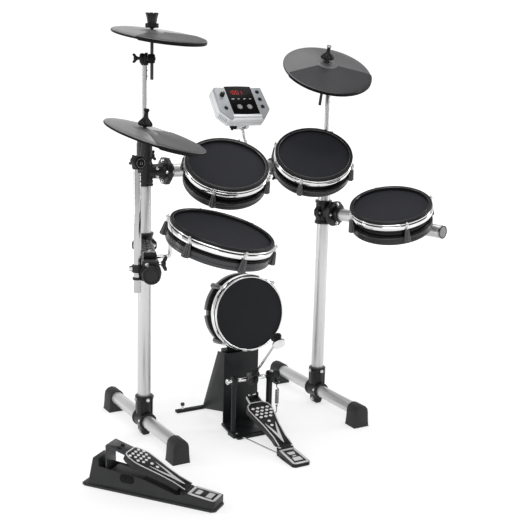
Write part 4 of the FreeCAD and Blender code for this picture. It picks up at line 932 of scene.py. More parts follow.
    def ring(part, inset, table):
        """One closed line round the hole: part 0 at the hole, 1 at the rim less the inset."""
        out = []
        for j in range(160):
            a = 2 * math.pi * j / 160
            b = -math.cos(a) * off
            far = -b + math.sqrt(b * b - off * off + (r - inset) ** 2)
            d = 20 + (far - 20) * part
            x, y = d * math.sin(a), -d * math.cos(a)
            q = min(math.hypot(x, y + off), table[-1][0])
            for (q0, z0), (q1, z1) in zip(table, table[1:]):
                if q <= q1:
                    z = z0 + (z1 - z0) * (q - q0) / (q1 - q0)
                    break
            out.append((x, y, z))
        return out

    loft(P, [ring(f, 8, over) for f in (0.0, 0.2, 0.4, 0.6, 0.8, 1.0)] + [ring(1.0, q, over) for q in (4, 1.6, 0.6)]
         + [ring(1.0, q, under) for q in (0.6, 3)] + [ring(f, 3, under) for f in (0.6, 0.0)], skin, I4, closed=True)
    lathe(P, [(8.2, -6), (26, -6), (33, 1.0), (30, 3.4), (24, 4.8), (17, 6.0), (13, 6.6), (9.4, 6.8), (8.2, 6.2)], skin, I4, 96, 1.5, 3)
    half, mid_a = 67.0, zone
    n = 84

    def edge_at(a):
        dx, dy = math.sin(a), -math.cos(a)
        b = dy * off
        return -b + math.sqrt(max(b * b - off * off + r * r, 0))

    def surf(rad, a, lift_z):
        x, y = rad * math.sin(a), -rad * math.cos(a)
        q = math.hypot(x, y + off) / r
        base = 3.5 - 2.2 * min(q, 0.94) ** 1.6
        if q > 0.94:
            base -= (q - 0.94) * 28
        return (x, y, base + lift_z)

    cols = []
    for j in range(n + 1):
        f = j / n
        a = math.radians(mid_a - half + 2 * half * f)
        R = edge_at(a) + 0.5
        inner = 34.0
        edge = min(f, 1 - f) * n
        lz = 0.75 * min(1.0, edge / 1.5)
        sec = [surf(inner, a, -2.0), surf(inner, a, lz * 0.4), surf(inner + 1.2, a, lz)]
        sec += [surf(inner + (R - 6 - inner) * q, a, lz) for q in (0.12, 0.3, 0.5, 0.7, 0.88, 1.0)]
        x, y, z = surf(R - 2.2, a, lz)
        sec += [(x, y, z), surf(R - 0.4, a, lz - 0.4)]
        ex, ey = R * math.sin(a), -R * math.cos(a)
        lo = -9.6 * min(1.0, 0.55 + edge / 4.0)
        sec += [(ex, ey, -2.2), (ex, ey, lo + 2.0), (ex * (1 - 0.9 / R), ey * (1 - 0.9 / R), lo + 0.5), (ex * (1 - 2.4 / R), ey * (1 - 2.4 / R), lo)]
        for back, dz in ((9, 0.6), (20, 2.0)):
            sec.append((ex * (1 - back / R), ey * (1 - back / R), lo + dz))
        cols.append(sec)
    m = len(cols[0])
    verts = [p for c in cols for p in c]
    top_f, line_f, edge_f = [], [], []
    for j in range(n):
        for i in range(m - 1):
            quad = (j * m + i, j * m + i + 1, (j + 1) * m + i + 1, (j + 1) * m + i)
            (top_f if i < 9 else line_f if i == 9 else edge_f).append(quad)
        edge_f.append((j * m + m - 1, j * m, (j + 1) * m, (j + 1) * m + m - 1))
    edge_f.append(tuple(range(m))[::-1])
    edge_f.append(tuple(range(n * m, n * m + m)))
    for mat in (strike, GUARDLINE, HAT_EDGE):
        if mat not in P.mats:
            P.mats.append(mat)
    base = len(P.v)
    P.v += [Vector(p) for p in verts]
    P.f += [[i + base for i in f] for f in top_f + line_f + edge_f]
    P.m += [P.mats.index(strike)] * len(top_f) + [P.mats.index(GUARDLINE)] * len(line_f) + [P.mats.index(HAT_EDGE)] * len(edge_f)
    P.make(name + "_pad_v", name + "_cymbal", spot(KIT, hole, rot_pad) @ turn(lean, "X"), "cymbal_rubber", [name + "_pad"])


HH_TOP = Vector((-PX, 0, 582)) + SNARE_TURN @ Vector((hh_x, hh_y, 276.5))
cymbal("hihat", HH_TOP, 530, (0.086, -0.051, 0.995), (-436.5, -361, 926.5), (0.224, -0.176, 0.958), NEAR * 0.81 + RIGHT * 0.58, 24, 128, False, 20, 9.4, 14.0, 0.7)
cymbal("crash", (-PX, 0, 1102), 700, Z, (-278.6, -38.4, 1168), (0.045, -0.138, 0.989), RIGHT, 57, 131, True, 20, 7.0, 8.0, 1.3)
cymbal("ride", (PX, 0, 1030), 700, (-0.06, -0.3, 0.95), (262, -58, 1080.5), (-0.095, -0.48, 0.872), (-0.936, -0.35, 0), 56, 135, False, 28, 7.0, 10.0)

# ------------------------------------------------------------------ module
AL = math.radians(48.4)
MZ = Vector((0, -math.sin(AL), math.cos(AL)))
MROT = axes(X, MZ)
MP = Vector((0, -12, 975))
MOD = spot(KIT, MP, MROT)
OUT = [(-76, 66), (-80, -16), (-54, -46), (62, -46), (88, -16), (84, 66)]
P = Part()
slab(P, OUT, -40, -9, CASE, I4, 2.5, 3, 4.0)
slab(P, [(x * 0.985 + 0.05, y * 0.985) for x, y in OUT], -10, 0, CASEDARK, I4, 2.0, 3, 5.0)
# rounded lip under the panel
slab(P, [(-33.6, -4), (-33.6, 0.6), (-40, 1.0), (-46.5, -1.6), (-50, -7), (-50.4, -13), (-47, -19), (-40, -19)], -44, 52, CASE, along_x(0, 0, 0), 2.5, 3, 4.0)
pin = MROT.transposed() @ (Vector((4, 1.7, 912)) - MP)
for x0, x1 in ((-19, -8.6), (10.2, 19)):
    slab(P, [(pin.y - 9, pin.z), (pin.y - 6, pin.z - 8), (pin.y + 6, pin.z - 8), (pin.y + 9, pin.z), (pin.y + 11, -39), (pin.y - 11, -39)],
         pin.x + x0, pin.x + x1, CASE, along_x(0, 0, 0), 1.2, 2, 3.0)
cyl(P, (pin.x - 19, pin.y, pin.z), X, 4.0, 38, STEEL, I4, 0.6, 32)
turned(P, (pin.x - 27, pin.y, pin.z), X, [(0, 0), (7.5, 0), (8.4, 2), (8.4, 7), (0, 8)], KNOB, I4, 0.8, 40)
wing_bolt(P, (pin.x - 26, pin.y, pin.z), (-1, 0, 0), (0, 1, -0.3), 16, KNOB, I4, 6.5, 11)
# seam round the case, vents and sockets at the back
slab(P, [(x * 1.004, y * 1.004) for x, y in OUT], -25.4, -24.4, CASEDARK, I4, 0.3, 1, 4.0)
for j in range(6):
    c = Vector((-67, -31)) + Vector((0.655, -0.756)) * (j - 2.5) * 5.0
    box(P, -1.1, 1.1, -0.6, 0.7, -33, -14, CASEDARK, move(c.x, c.y, 0) @ turn(-49, "Z"), 0.3)
for j in range(7):
    box(P, -40 + j * 12, -34 + j * 12, 14, 44, -40.6, -39.5, CASEDARK, I4, 0.4)
for j in range(6):
    turned(P, (-58 + j * 24, 66, -22), Y, [(3.1, -1), (5.6, -1), (5.6, 1.4), (3.1, 1.4)], KNOB, I4, 0.4, 28)
for x, y, rr in ((-58, -10, 4.4), (65, 48, 4.4), (65, 21, 4.4), (65, -6, 4.4)):
    lathe(P, [(rr, -0.4), (rr + 2.2, -0.4), (rr + 1.8, 0.9), (rr, 1.0)], KNOB, move(x, y, 0), 36, 0.2)
P.make("module_case_v", "module", MOD, "case_silver", ["module_case"])

P = Part()
slab(P, [(-40, -31.6), (3.5, -33.2), (47, -31.6), (47, 67.6), (3.5, 69.0), (-40, 67.6)], -1.4, 0.75, PANEL, I4, 0.5, 2, 1.5)
# readout window, three digits, row of indicator lights and their captions as plain bars
slab(P, [(-31, 34.5), (18, 34.5), (18, 55.5), (-31, 55.5)], 0.6, 1.05, REDOFF, I4, 0.2, 1, 1.0)
SEG = {"0": "abcdef", "8": "abcdefg", "1": "bc", "2": "abged", "5": "afgcd"}


def digit(P, x, y, w, hh, which, z):
    t = 1.15
    bars = {"a": (x - w, y + hh, x + w, y + hh), "g": (x - w, y, x + w, y), "d": (x - w, y - hh, x + w, y - hh),
            "f": (x - w, y, x - w, y + hh), "b": (x + w, y, x + w, y + hh), "e": (x - w, y - hh, x - w, y), "c": (x + w, y - hh, x + w, y)}
    for k, (xa, ya, xb, yb) in bars.items():
        lit = k in SEG[which]
        if xa == xb:
            o = [(xa - t / 2, ya + 0.7), (xa, ya + 0.2), (xa + t / 2, ya + 0.7), (xa + t / 2, yb - 0.7), (xa, yb - 0.2), (xa - t / 2, yb - 0.7)]
        else:
            o = [(xa + 0.7, ya - t / 2), (xb - 0.7, ya - t / 2), (xb - 0.2, ya), (xb - 0.7, ya + t / 2), (xa + 0.7, ya + t / 2), (xa + 0.2, ya)]
        if lit:
            slab(P, o, z, z + 0.3, RED, I4, 0.1, 1)


slab(P, [(-26.5, 44.4), (-23, 44.4), (-23, 45.6), (-26.5, 45.6)], 0.95, 1.25, RED, I4, 0.1, 1)
for x, k in ((-16.5, "0"), (-4.5, "0"), (7.5, "1")):
    digit(P, x, 45, 3.4, 6.2, k, 0.95)
for j, w in enumerate((9.0, 6.0, 8.0, 7.0)):
    x = -25.5 + j * 19.0
    slab(P, [(x - w / 2, 21.0), (x + w / 2, 21.0), (x + w / 2, 22.8), (x - w / 2, 22.8)], 0.7, 0.95, PAINT, I4, 0.1, 1, 0.6)
    lathe(P, [(0, 0.6), (1.3, 0.6), (1.1, 1.1), (0, 1.2)], REDOFF, move(x, 27.5, 0), 20, 0.1)
for x in (-12.5, 20):
    lathe(P, [(8.5, 0.5), (10.4, 0.5), (10.0, 1.3), (8.5, 1.3)], KNOB, move(x, -7, 0), 48, 0.2)
P.make("module_panel_v", "module", MOD, "panel_gloss", ["module_panel"])

P = Part()
rings = [fluted(7.4, 0.5, 0.05, 18, 72), fluted(7.4, 1.6, 0.05, 18, 72), fluted(6.8, 2.4, 0.06, 18, 72), fluted(6.3, 10.2, 0.06, 18, 72), fluted(5.6, 11.2, 0.0, 18, 72), fluted(3.0, 11.0, 0.0, 18, 72)]
loft(P, rings, KNOB)
box(P, -0.6, 0.6, 2.2, 6.2, 10.6, 11.7, WHITE, I4, 0.3)
P.make("volume_knob_v", "volume_knob", spot(KIT, MP + MROT @ Vector((-57, 36, 0)), MROT), "control_black", ["volume_knob"])
for nm, x, y, rr, mat, sl in (("button_left", -58, -10, 4, KNOB, "control_black"), ("button_top", 65, 48, 4, KNOB, "control_black"),
                              ("button_middle", 65, 21, 4, KNOB, "control_black"), ("button_bottom", 65, -6, 4, KNOB, "control_black"),
                              ("select_button_a", -12.5, -7, 8, BUTTON, "control_grey"), ("select_button_b", 20, -7, 8, BUTTON, "control_grey")):
    P = Part()
    lathe(P, [(0, -6.4), (rr, -6.4), (rr, 1.8), (rr - 0.7, 2.9), (rr * 0.7, 2.7), (0, 2.4)], mat, I4, 48, 0.4)
    if rr > 6:
        for s in (-1, 1):
            slab(P, [(-2.2, s * 1.2), (2.2, s * 1.2), (0, s * 3.6)], 2.3, 2.75, CASEDARK, I4, 0.1, 1, 0.3)
    P.make(nm + "_v", nm, spot(KIT, MP + MROT @ Vector((x, y, 0)), MROT), sl, [nm])

# ------------------------------------------------------------------ kick tower
tx = -1.5
x0, x1 = tx - 59.5, tx + 59.5
P = Part()
slab(P, [(x0, 5), (x1, 5), (x1, 224), (x0, 224)], 36, 40, STEELBLACK, along_y(0, 0, 0), 0.8, 2, 2.0)
BR = [(-38, 40), (92, 8), (108, 2), (108, 12), (94, 20), (2, 222), (-38, 222)]
for xs in (x0, x1 - 3):
    slab(P, BR, xs, xs + 3, STEELBLACK, along_x(0, 0, 0), 0.7, 2, 3.0)
box(P, tx - 144, tx + 144, 104, 124, 0.2, 8, STEELBLACK, I4, 1.4, 4.0)
box(P, x0 + 4, x1 - 4, -37, 4, 214, 219, STEELBLACK, I4, 0.8)
box(P, tx - 42, tx + 42, -18, 14, 214, 226, STEELBLACK, I4, 0.8)
BT = Matrix.Translation(CK + Vector((0, 0, -12))) @ ROTK.to_4x4()
slab(P, [(-42, -128), (42, -128), (42, 14), (34, 22), (-34, 22), (-42, 14)], -KICK_H - 6.3, -KICK_H - 0.4, STEELBLACK, BT, 0.8, 2, 3.0)
for a, b in ((-26, -60), (26, -60), (-26, 0), (26, 0)):
    hexbolt(P, (a, b, -KICK_H - 6.3), (0, 0, -1), 9, 5, STEEL, BT)
for s in (-1, 1):
    cyl(P, (tx + s * 121, 115, 1), Z, 3.0, 24, STEEL, I4, 0.5, 24)
    loft(P, [fluted(5.2, 19.6, 0.1, 10, 60, (tx + s * 121, 115)), fluted(6.4, 20.6, 0.14, 10, 60, (tx + s * 121, 115)),
             fluted(6.4, 27.6, 0.14, 10, 60, (tx + s * 121, 115)), fluted(5.2, 28.8, 0.1, 10, 60, (tx + s * 121, 115))], DARKROD)
    turned(P, (tx + s * 121, 115, 8), Z, [(0, 0), (5.4, 0), (5.4, 3), (0, 3)], STEEL, I4, 0.4, 28)
P.make("kick_tower_v", "rack", FLOOR, "black_steel", ["kick_tower"])

# ------------------------------------------------------------------ kick pedal
PED = spot(FLOOR, (-16.5, -27.2, 0))
ay, az, hy, hz = -105.5, 170.0, -298.7, 24.0
P = Part()
slab(P, [(-66, -145), (67, -145), (67, -92), (55, -15), (-53, -15), (-66, -92)], 0.2, 7.6, STEELBLACK, I4, 1.2, 2, 6.0)
slab(P, [(-48, -132), (48, -132), (44, -30), (-42, -30)], 7, 9.6, STEELBLACK, I4, 0.8, 2, 5.0)
for s, w in ((-1, 0), (1, 1)):
    xs = -61 if s < 0 else 61
    # column: round on the left, channel on the right; foot block with its screws
    if s < 0:
        turned(P, (xs, ay, 8), Z, [(0, 0), (8.2, 0), (8.2, 8), (6.8, 10), (6.8, az - 30), (8.0, az - 27), (8.0, az - 20), (0, az - 20)], STEELBLACK, I4, 0.8, 40)
    else:
        box(P, 55.5, 66.5, ay - 7.5, ay + 7.5, 6, az - 10, STEELBLACK, I4, 1.2)
        box(P, 54.6, 57.2, ay - 9.5, ay + 9.5, 6, az - 14, STEELBLACK, I4, 0.8)
    box(P, xs - 12, xs + 12, ay - 26, ay + 14, 0.3, 14, STEELBLACK, I4, 2.2, 4.0)
    cyl(P, (xs, ay - 20, 13.5), Z, 4.2, 2.2, STEEL, I4, 0.4, 28)
# bearing blocks
slab(P, [(ay - 12, az - 13), (ay + 12, az - 13), (ay + 13, az + 4), (ay + 8, az + 13), (ay - 8, az + 13), (ay - 13, az + 4)], -67, -54.5, STEELBLACK, along_x(0, 0, 0), 1.6, 3, 3.0)
slab(P, [(ay - 17, az - 14), (ay + 12, az - 14), (ay + 14, az + 6), (ay + 8, az + 14), (ay - 14, az + 14), (ay - 20, az + 4)], 54, 70, STEELBLACK, along_x(0, 0, 0), 1.8, 3, 3.5)
hexbolt(P, (62, ay - 8, az + 14), Z, 7, 3.5, STEEL)
# stabiliser wires from the base to the heel
for s in (-1, 1):
    rod(P, [(s * 52, -140, 5), (s * 44, -150, 5), (s * 16, -300, 5), (s * 14, -310, 5)], 2.3, STEEL, I4, 14, 14)
# heel plate: black block, framed top, plain inlay
slab(P, [(-29, -384), (-22, -392), (22, -392), (29, -384), (27.5, -330), (26, -309), (-26, -309), (-27.5, -330)], 0.3, 7.6, STEELBLACK, I4, 2.0, 3, 4.0)
slab(P, [(-387, 4), (-306, 4), (-305, 17), (-387, 7)], -25, 25, STEELBLACK, along_x(0, 0, 0), 1.0, 2, 2.0)
HT = Matrix.Translation((0, -351.5, 15.6)) @ Matrix.Rotation(math.radians(7.0), 4, "X")
slab(P, [(-28.4, -33), (-21, -39.8), (21, -39.8), (28.4, -33), (27, 18), (25.8, 46), (-25.8, 46), (-27, 18)], -8, 0, BOARD, HT, 1.2, 2, 3.0)


def frame_line(P, outline, width, z0, z1, mat, T, corner=3.0):
    """A flat printed line that follows an outline, inside it."""
    pts = fillet([Vector(p) for p in outline], corner, 4)
    if area(pts) < 0:
        pts.reverse()
    inn = offset(pts, width)
    n = len(pts)
    rings = [[(p.x, p.y, z0) for p in pts], [(p.x, p.y, z1) for p in pts], [(p.x, p.y, z1) for p in inn], [(p.x, p.y, z0) for p in inn]]
    loft(P, rings, mat, T, closed=True)


HEEL = [(-27.4, -32.4), (-20.6, -38.8), (20.6, -38.8), (27.4, -32.4), (26, 18), (24.9, 45), (-24.9, 45), (-26, 18)]
frame_line(P, HEEL, 7.4, -0.2, 0.7, PAINT, HT)
slab(P, [(-12, 26), (12, 26), (9, 12), (-9, 12)], -0.2, 0.45, PAINT, HT, 0.15, 1, 1.5)
slab(P, [(-12, -4), (12, -4), (14, -22), (-14, -22)], -0.2, 0.45, PAINT, HT, 0.15, 1, 1.5)
slab(P, [(-6, 6), (6, 6), (6, 1), (-6, 1)], -0.2, 0.45, PAINT, HT, 0.15, 1, 1.0)
for x0h, x1h in ((-25, -17.4), (17.4, 25)):
    slab(P, [(-309, 1), (hy + 4, 1), (hy + 5, hz - 2), (hy + 3, hz + 3.4), (hy - 3, hz + 3.6), (-309, hz - 8)], x0h, x1h, STEELBLACK, along_x(0, 0, 0), 1.2, 2, 2.5)
for s in (-1, 1):
    slab(P, [(s * 17.6, hy - 9), (s * 24.8, hy - 9), (s * 24.8, hy + 2.6), (s * 17.6, hy + 2.6)], hz + 2.8, hz + 4.2, PAINT, I4, 0.4, 1, 0.8)
cyl(P, (-26.5, hy, hz), X, 2.9, 53, KNOB, I4, 0.5, 28)
P.make("pedal_frame_v", "rack", PED, "black_steel", ["pedal_frame"])

LEAN = Matrix.Rotation(math.radians(42), 3, "X")
AX = spot(FLOOR, (-16.5, -27.2 + ay, az), LEAN)
P = Part()
lathe(P, [(0, -78), (5.0, -78), (5.0, 85), (0, 85)], CHROME, aim((0, 0, 0), X), 40, 0.6)
# left end nut, hub with its star knob, cam, spring lever
lathe(P, [(0, -86), (6.4, -86), (8.4, -84), (8.4, -79), (6.8, -77.6), (6.8, -70), (0, -70)], NICKEL, aim((0, 0, 0), X), 40, 0.7)
lathe(P, [(0, -50), (7.6, -50), (7.6, -46), (6.4, -45), (6.4, -18), (0, -18)], NICKEL, aim((0, 0, 0), X), 40, 0.6)
lathe(P, [(0, 13), (6.8, 13), (6.8, 40), (0, 40)], NICKEL, aim((0, 0, 0), X), 40, 0.6)
lathe(P, [(0, 10.4), (10.4, 10.4), (11, 11), (11, 14.4), (10.4, 15), (0, 15)], NICKEL, aim((0, 0, 0), X), 48, 0.4)
# grooved hub on the right end
lathe(P, [(0, 71.5), (12.5, 71.5), (13.5, 72.8), (13.5, 79.6), (12.3, 80.4), (12.3, 82.4), (13.5, 83.2), (13.5, 88.6), (12.4, 90), (0, 90)], STEELBLACK, aim((0, 0, 0), X), 64, 0.6)
lathe(P, [(0, -10), (20, -10), (21, -9), (21, -6.6), (18, -5.4), (18, 5.4), (21, 6.6), (21, 9), (20, 10), (0, 10)], STEELBLACK, aim((0, 0, 0), X), 72, 0.5)
box(P, -11, 11, -9, 9, 2, 33, STEELBLACK, I4, 2.2)
n = 80
star = lambda R, z: [(R * (0.8 + 0.2 * math.cos(5 * 2 * math.pi * j / n)) * math.cos(2 * math.pi * j / n), R * (0.8 + 0.2 * math.cos(5 * 2 * math.pi * j / n)) * math.sin(2 * math.pi * j / n), z) for j in range(n)]
loft(P, [star(9.6, 9), star(11.2, 10), star(11.2, 20), star(9.6, 21.2)], LUG, aim((-0.5, 0, 20), (-1, 0, 0)))
slab(P, [(-31, -5), (-24, -5.4), (2, -6), (5, 0), (2, 6), (-24, 5.4), (-31, 5), (-33, 0)], 72, 78, STEELBLACK, along_x(0, 0, 0), 1.0, 2, 2.0)
cyl(P, (70, -27, 0), X, 2.0, 12, SPRING, I4, 0.4, 20)
lathe(P, [(0, 71), (11, 71), (12.4, 72.5), (12.4, 83), (11, 84.6), (5, 85.4), (0, 85.4)], STEELBLACK, aim((0, 0, 0), X), 48, 0.8)
P.make("pedal_axle_v", "beater", AX, "rod_steel", ["pedal_axle"])

P = Part()
BL = 204.0
rod(P, [(0, 0, 24), (0, 0, BL + 4)], 3.2, CHROME, I4, 20)
# two-sided head: felt face forward, pale face back, black body between them
turned(P, (0, -17, BL), Y, [(0, 0), (15.4, 0), (17.4, 1.5), (18.2, 4.5), (18.2, 9), (0, 9)], WHITE, I4, 1.0, 64)
turned(P, (0, -8.4, BL), Y, [(0, 0), (18.4, 0), (18.4, 3), (14.2, 6), (12.2, 9), (12.2, 12), (14.2, 14.2), (14.2, 18), (0, 18)], KNOB, I4, 1.0, 64)
turned(P, (0, 9, BL), Y, [(0, 0), (15.8, 0), (16.2, 2), (16.0, 6), (14.4, 8), (0, 8.4)], FELT, I4, 1.4, 64)
turned(P, (0, -2, BL - 21), Y, [(0, -3), (5.6, -3), (5.6, 5), (0, 5)], KNOB, I4, 0.8, 32)
P.make("beater_v", "beater", AX, "beater_felt", ["beater"])


def border(P, outline, inset, width, z0, z1, mat, corner):
    """A raised line that follows an open outline, on its left hand."""
    pts = fillet([Vector(p) for p in outline], corner, 5, False)
    rings, m = [], len(pts)
    for i, q in enumerate(pts):
        d = (pts[min(i + 1, m - 1)] - pts[max(i - 1, 0)]).normalized()
        a, b = q + Vector((-d.y, d.x)) * inset, q + Vector((-d.y, d.x)) * (inset + width)
        rings.append([(a.x, a.y, z0), (a.x, a.y, z1), (b.x, b.y, z1), (b.x, b.y, z0)])
    loft(P, rings, mat)


def footboard(P, outline, t, scale, length, first, dots, back):
    """Pressed footboard: skirted plate with a silver border, rows of diamonds, two dots and a long wedge."""
    slab(P, outline, 2, 2 + t, BOARD, I4, 1.2, 2, 16.0, 5)
    pts = fillet([Vector(p) for p in outline], 16.0, 5)
    if area(pts) < 0:
        pts.reverse()
    # side skirt
    n = len(pts)
    inn = offset(pts, 2.2)
    rings = []
    for ring, z in ((pts, 3.0), (pts, -8.5), (offset(pts, 0.5), -9.2), (offset(pts, 1.7), -9.2), (inn, -8.5), (inn, 3.0)):
        rings.append([(p.x, p.y, z) for p in ring])
    loft(P, rings, BOARD, I4, closed=True)
    # apron over the hinge, and the border line round both
    end = [(x, 1.0 if y < 20 else y) for x, y in outline[1:] + outline[:1]]
    w0 = max(x for x, y in outline if y < 20)
    box(P, -w0, w0, 1.0, 24, 4.6, 2 + t, BOARD, I4, 1.0, 2.0)
    border(P, end, 0.8, 3.3, 7.6, 8.5, PAINT, 16.0)
    top = 2 + t
    for j, row in enumerate(((-24, -8, 8, 24), (-16, 0, 16, 31), (-24, -8, 8, 24), (-16, 0, 16))):
        y = first - j * 12.4
        for x in row:
            x *= scale
            slab(P, [(x - 7.0 * scale, y), (x, y - 4.9), (x + 7.0 * scale, y), (x, y + 4.9)], top - 0.1, top + 0.9, WHITE, I4, 0.4, 1, 1.6)
    for f in dots:
        slab(P, [(p[0] * 1.15, p[1] + first - f) for p in ngon(20, 4.4)], top - 0.1, top + 0.9, WHITE, I4, 0.4, 1)
    # hollow wedge that runs to the heel, solid at its point
    y1, y2, y3 = length * 0.62 - back[0], length * 0.385 - back[1], length * 0.165 - back[2]
    for s in (-1, 1):
        slab(P, [(s * 18.0 * scale, y1 + 4), (s * 15.4 * scale, y1), (s * 6.6 * scale, y2 + 22), (s * 0.25, y2), (s * 0.25, y3), (s * 3.4 * scale, y3 + 14), (s * 8.6 * scale, y2 + 1), (s * 12.6 * scale, y2 + 18)],
             top - 0.1, top + 0.5, PAINT, I4, 0.15, 1, 0.5)


BOARDPTS = [(-24, 12), (24, 12), (22.5, 38), (28, 88), (37, 132), (41.5, 156), (37, 174), (21, 186), (-21, 186), (-37, 174), (-41.5, 156), (-37, 132), (-28, 88), (-22.5, 38)]
FB = spot(FLOOR, (-16.5, -27.2 + hy, hz), Matrix.Rotation(math.radians(23), 3, "X"))
P = Part()
footboard(P, BOARDPTS, 6.0, 1.0, 186.0, 158.5, (57, 75), (24, 24, 23))
# toe tongue with raised bright edges
slab(P, [(-22, 178), (22, 178), (19, 212), (-19, 212)], 2, 8.2, BOARD, I4, 1.0, 2, 1.5)
for s in (-1, 1):
    slab(P, [(s * 19.4, 181), (s * 22.4, 181), (s * 19.6, 213), (s * 16.6, 213)], 3, 10, PAINT, I4, 0.6, 1, 0.8)
box(P, -10, 10, 187, 206, 8, 10.4, STEELBLACK, I4, 0.8)
lathe(P, [(3.1, -16), (7, -16), (7, 16), (3.1, 16)], BOARD, aim((0, 0, 0), X), 40, 0.6)
box(P, -16, 16, 3, 16, 2, 8, BOARD, I4, 0.8)
# chain bracket at the toe
for s in (-1, 1):
    slab(P, [(196, 5), (214, 5), (213, 22), (208, 27), (201, 27), (197, 20)], s * 10.5 - 2, s * 10.5 + 2, STEELBLACK, along_x(0, 0, 0), 0.8, 2, 2.0)
box(P, -13, 13, 192, 213, 6, 10, STEELBLACK, I4, 1.0)
cyl(P, (-17, 206, 20), X, 3.0, 34, STEEL, I4, 0.5, 24)
P.make("footboard_v", "footboard", FB, "board_metal", ["footboard"])

# roller chain: plates and rollers from the toe up to the cam
P = Part()
yc, z = ay - 23.5, 134.0
k = 0
while z < az + 6:
    for s in (-1, 1):
        xx = s * (3.4 if k % 2 else 2.2)
        slab(P, [(yc - 2.0, z), (yc + 2.0, z), (yc + 2.2, z + 4), (yc + 2.0, z + 8), (yc - 2.0, z + 8), (yc - 2.2, z + 4)], xx - 0.5, xx + 0.5, DARKROD, along_x(0, 0, 0), 0.3, 1, 1.6)
    cyl(P, (-4.4, yc, z + 1.2), X, 1.5, 8.8, DARKROD, I4, 0.3, 16)
    z += 6.2
    k += 1
P.make("pedal_chain_v", "footboard", PED, "rod_steel", ["pedal_chain"])

# coil spring with its hooks
P = Part()
turns, n = 13, 260
pts = [(75 + 5.0 * math.cos(2 * math.pi * turns * j / n), -127 + 5.0 * math.sin(2 * math.pi * turns * j / n), 86 + 44 * j / n) for j in range(n + 1)]
rod(P, pts, 1.15, SPRING, I4, 8)
rod(P, [(75, -127, 144), (75, -125, 146.5), (75, -122.5, 143), (75, -125, 138), (75, -127, 134), (75 + 5, -127, 130)], 1.4, DARKROD, I4, 8, 2.0)
rod(P, [(75 + 5, -127, 86), (75, -127, 82), (75, -127, 78)], 1.15, SPRING, I4, 8, 2.0)
rod(P, [(75, -127, 80), (75, -127, 60), (70, -122, 50), (66, -116, 44)], 1.6, SPRING, I4, 12, 6.0)
cyl(P, (75, -127, 76), Z, 3.4, 5, SPRING, I4, 0.5, 20)
P.make("pedal_spring_v", "rack", PED, "rod_steel", ["pedal_spring"])

# ------------------------------------------------------------------ hi-hat pedal
HTURN = Matrix.Rotation(math.atan2(0.6, 0.8), 3, "Z")
HP = spot(FLOOR, (-341.8, -537.7, 0), HTURN)
hpy, hpz = 86.0, 33.0
P = Part()
# wedge base: sole plate, hollowed body with a slot, toe tower
slab(P, [(-24, -4), (24, -4), (32, 6), (32, 370), (26, 381), (-26, 381), (-32, 370), (-32, 6)], 0.2, 7, PLASTIC, I4, 2.0, 3, 5.0)
SIDE = [(0, 4), (376, 4), (374, 8), (362, 9), (347, 82), (331, 80), (329, 60), (205, 50.5), (104, 25.5), (76, 34), (0, 27)]
for s in (-1, 1):
    slab(P, SIDE, -28 if s < 0 else 24.5, -24.5 if s < 0 else 28, PLASTIC, along_x(0, 0, 0), 2.0, 3, 3.0)
slab(P, [(104, 6), (362, 9), (347, 82), (331, 80), (329, 30), (298, 12), (298, 56), (205, 48), (104, 22)], -25, 25, PLASTIC, along_x(0, 0, 0), 1.6, 2, 2.0)
slab(P, [(0, 4), (104, 4), (103, 21), (76, 22), (74, 27), (0, 21)], -25, 25, PLASTIC, along_x(0, 0, 0), 1.6, 2, 2.0)
for s in (-1, 1):
    slab(P, [(76, 14), (96, 14), (95, 31), (90, 36.6), (82, 36.6), (76, 30)], s * 21.1 - 3.8, s * 21.1 + 3.8, PLASTIC, along_x(0, 0, 0), 1.4, 2, 3.0)
cyl(P, (-26, hpy, hpz), X, 2.9, 52, KNOB, I4, 0.5, 28)
# framed heel plate with a plain inlay
HT2 = Matrix.Translation((0, 37, 29.0)) @ Matrix.Rotation(math.radians(5.5), 4, "X")
slab(P, [(-27.4, -31), (-21.5, -37.6), (21.5, -37.6), (27.4, -31), (27, 20), (25.4, 40), (-25.4, 40), (-27, 20)], -6, 2.4, BOARD, HT2, 1.4, 2, 3.0)
frame_line(P, [(-26.4, -30.4), (-21, -36.4), (21, -36.4), (26.4, -30.4), (26, 20), (24.6, 39.2), (-24.6, 39.2), (-26, 20)], 7.2, 2.2, 3.1, PAINT, HT2)
slab(P, [(-12, 24), (12, 24), (10, 10), (-10, 10)], 2.2, 2.85, PAINT, HT2, 0.15, 1, 1.5)
slab(P, [(-13, -6), (13, -6), (14, -22), (-14, -22)], 2.2, 2.85, PAINT, HT2, 0.15, 1, 1.5)
# jack in the side
for s in (-1,):
    slab(P, [(226, 31), (266, 31), (266, 53), (226, 53)], -30.2, -27.2, DULL, along_x(0, 0, 0), 0.8, 2, 10)
    turned(P, (-30.0, 238, 42), (-1, 0, 0), [(2.8, -1), (6.2, -1), (6.2, 1.4), (2.8, 1.4)], KNOB, I4, 0.4, 32)
    cyl(P, (-29.8, 253, 42), (-1, 0, 0), 3.0, 1.8, KNOB, I4, 0.4, 24)
for xq, yq in ((-24, 30), (24, 30), (-24, 350), (24, 350)):
    cyl(P, (xq, yq, 0.0), Z, 5.0, 1.0, BOOT, I4, 0.2, 24)
P.make("hihat_pedal_base_v", "rack", HP, "pedal_plastic", ["hihat_pedal_base"])

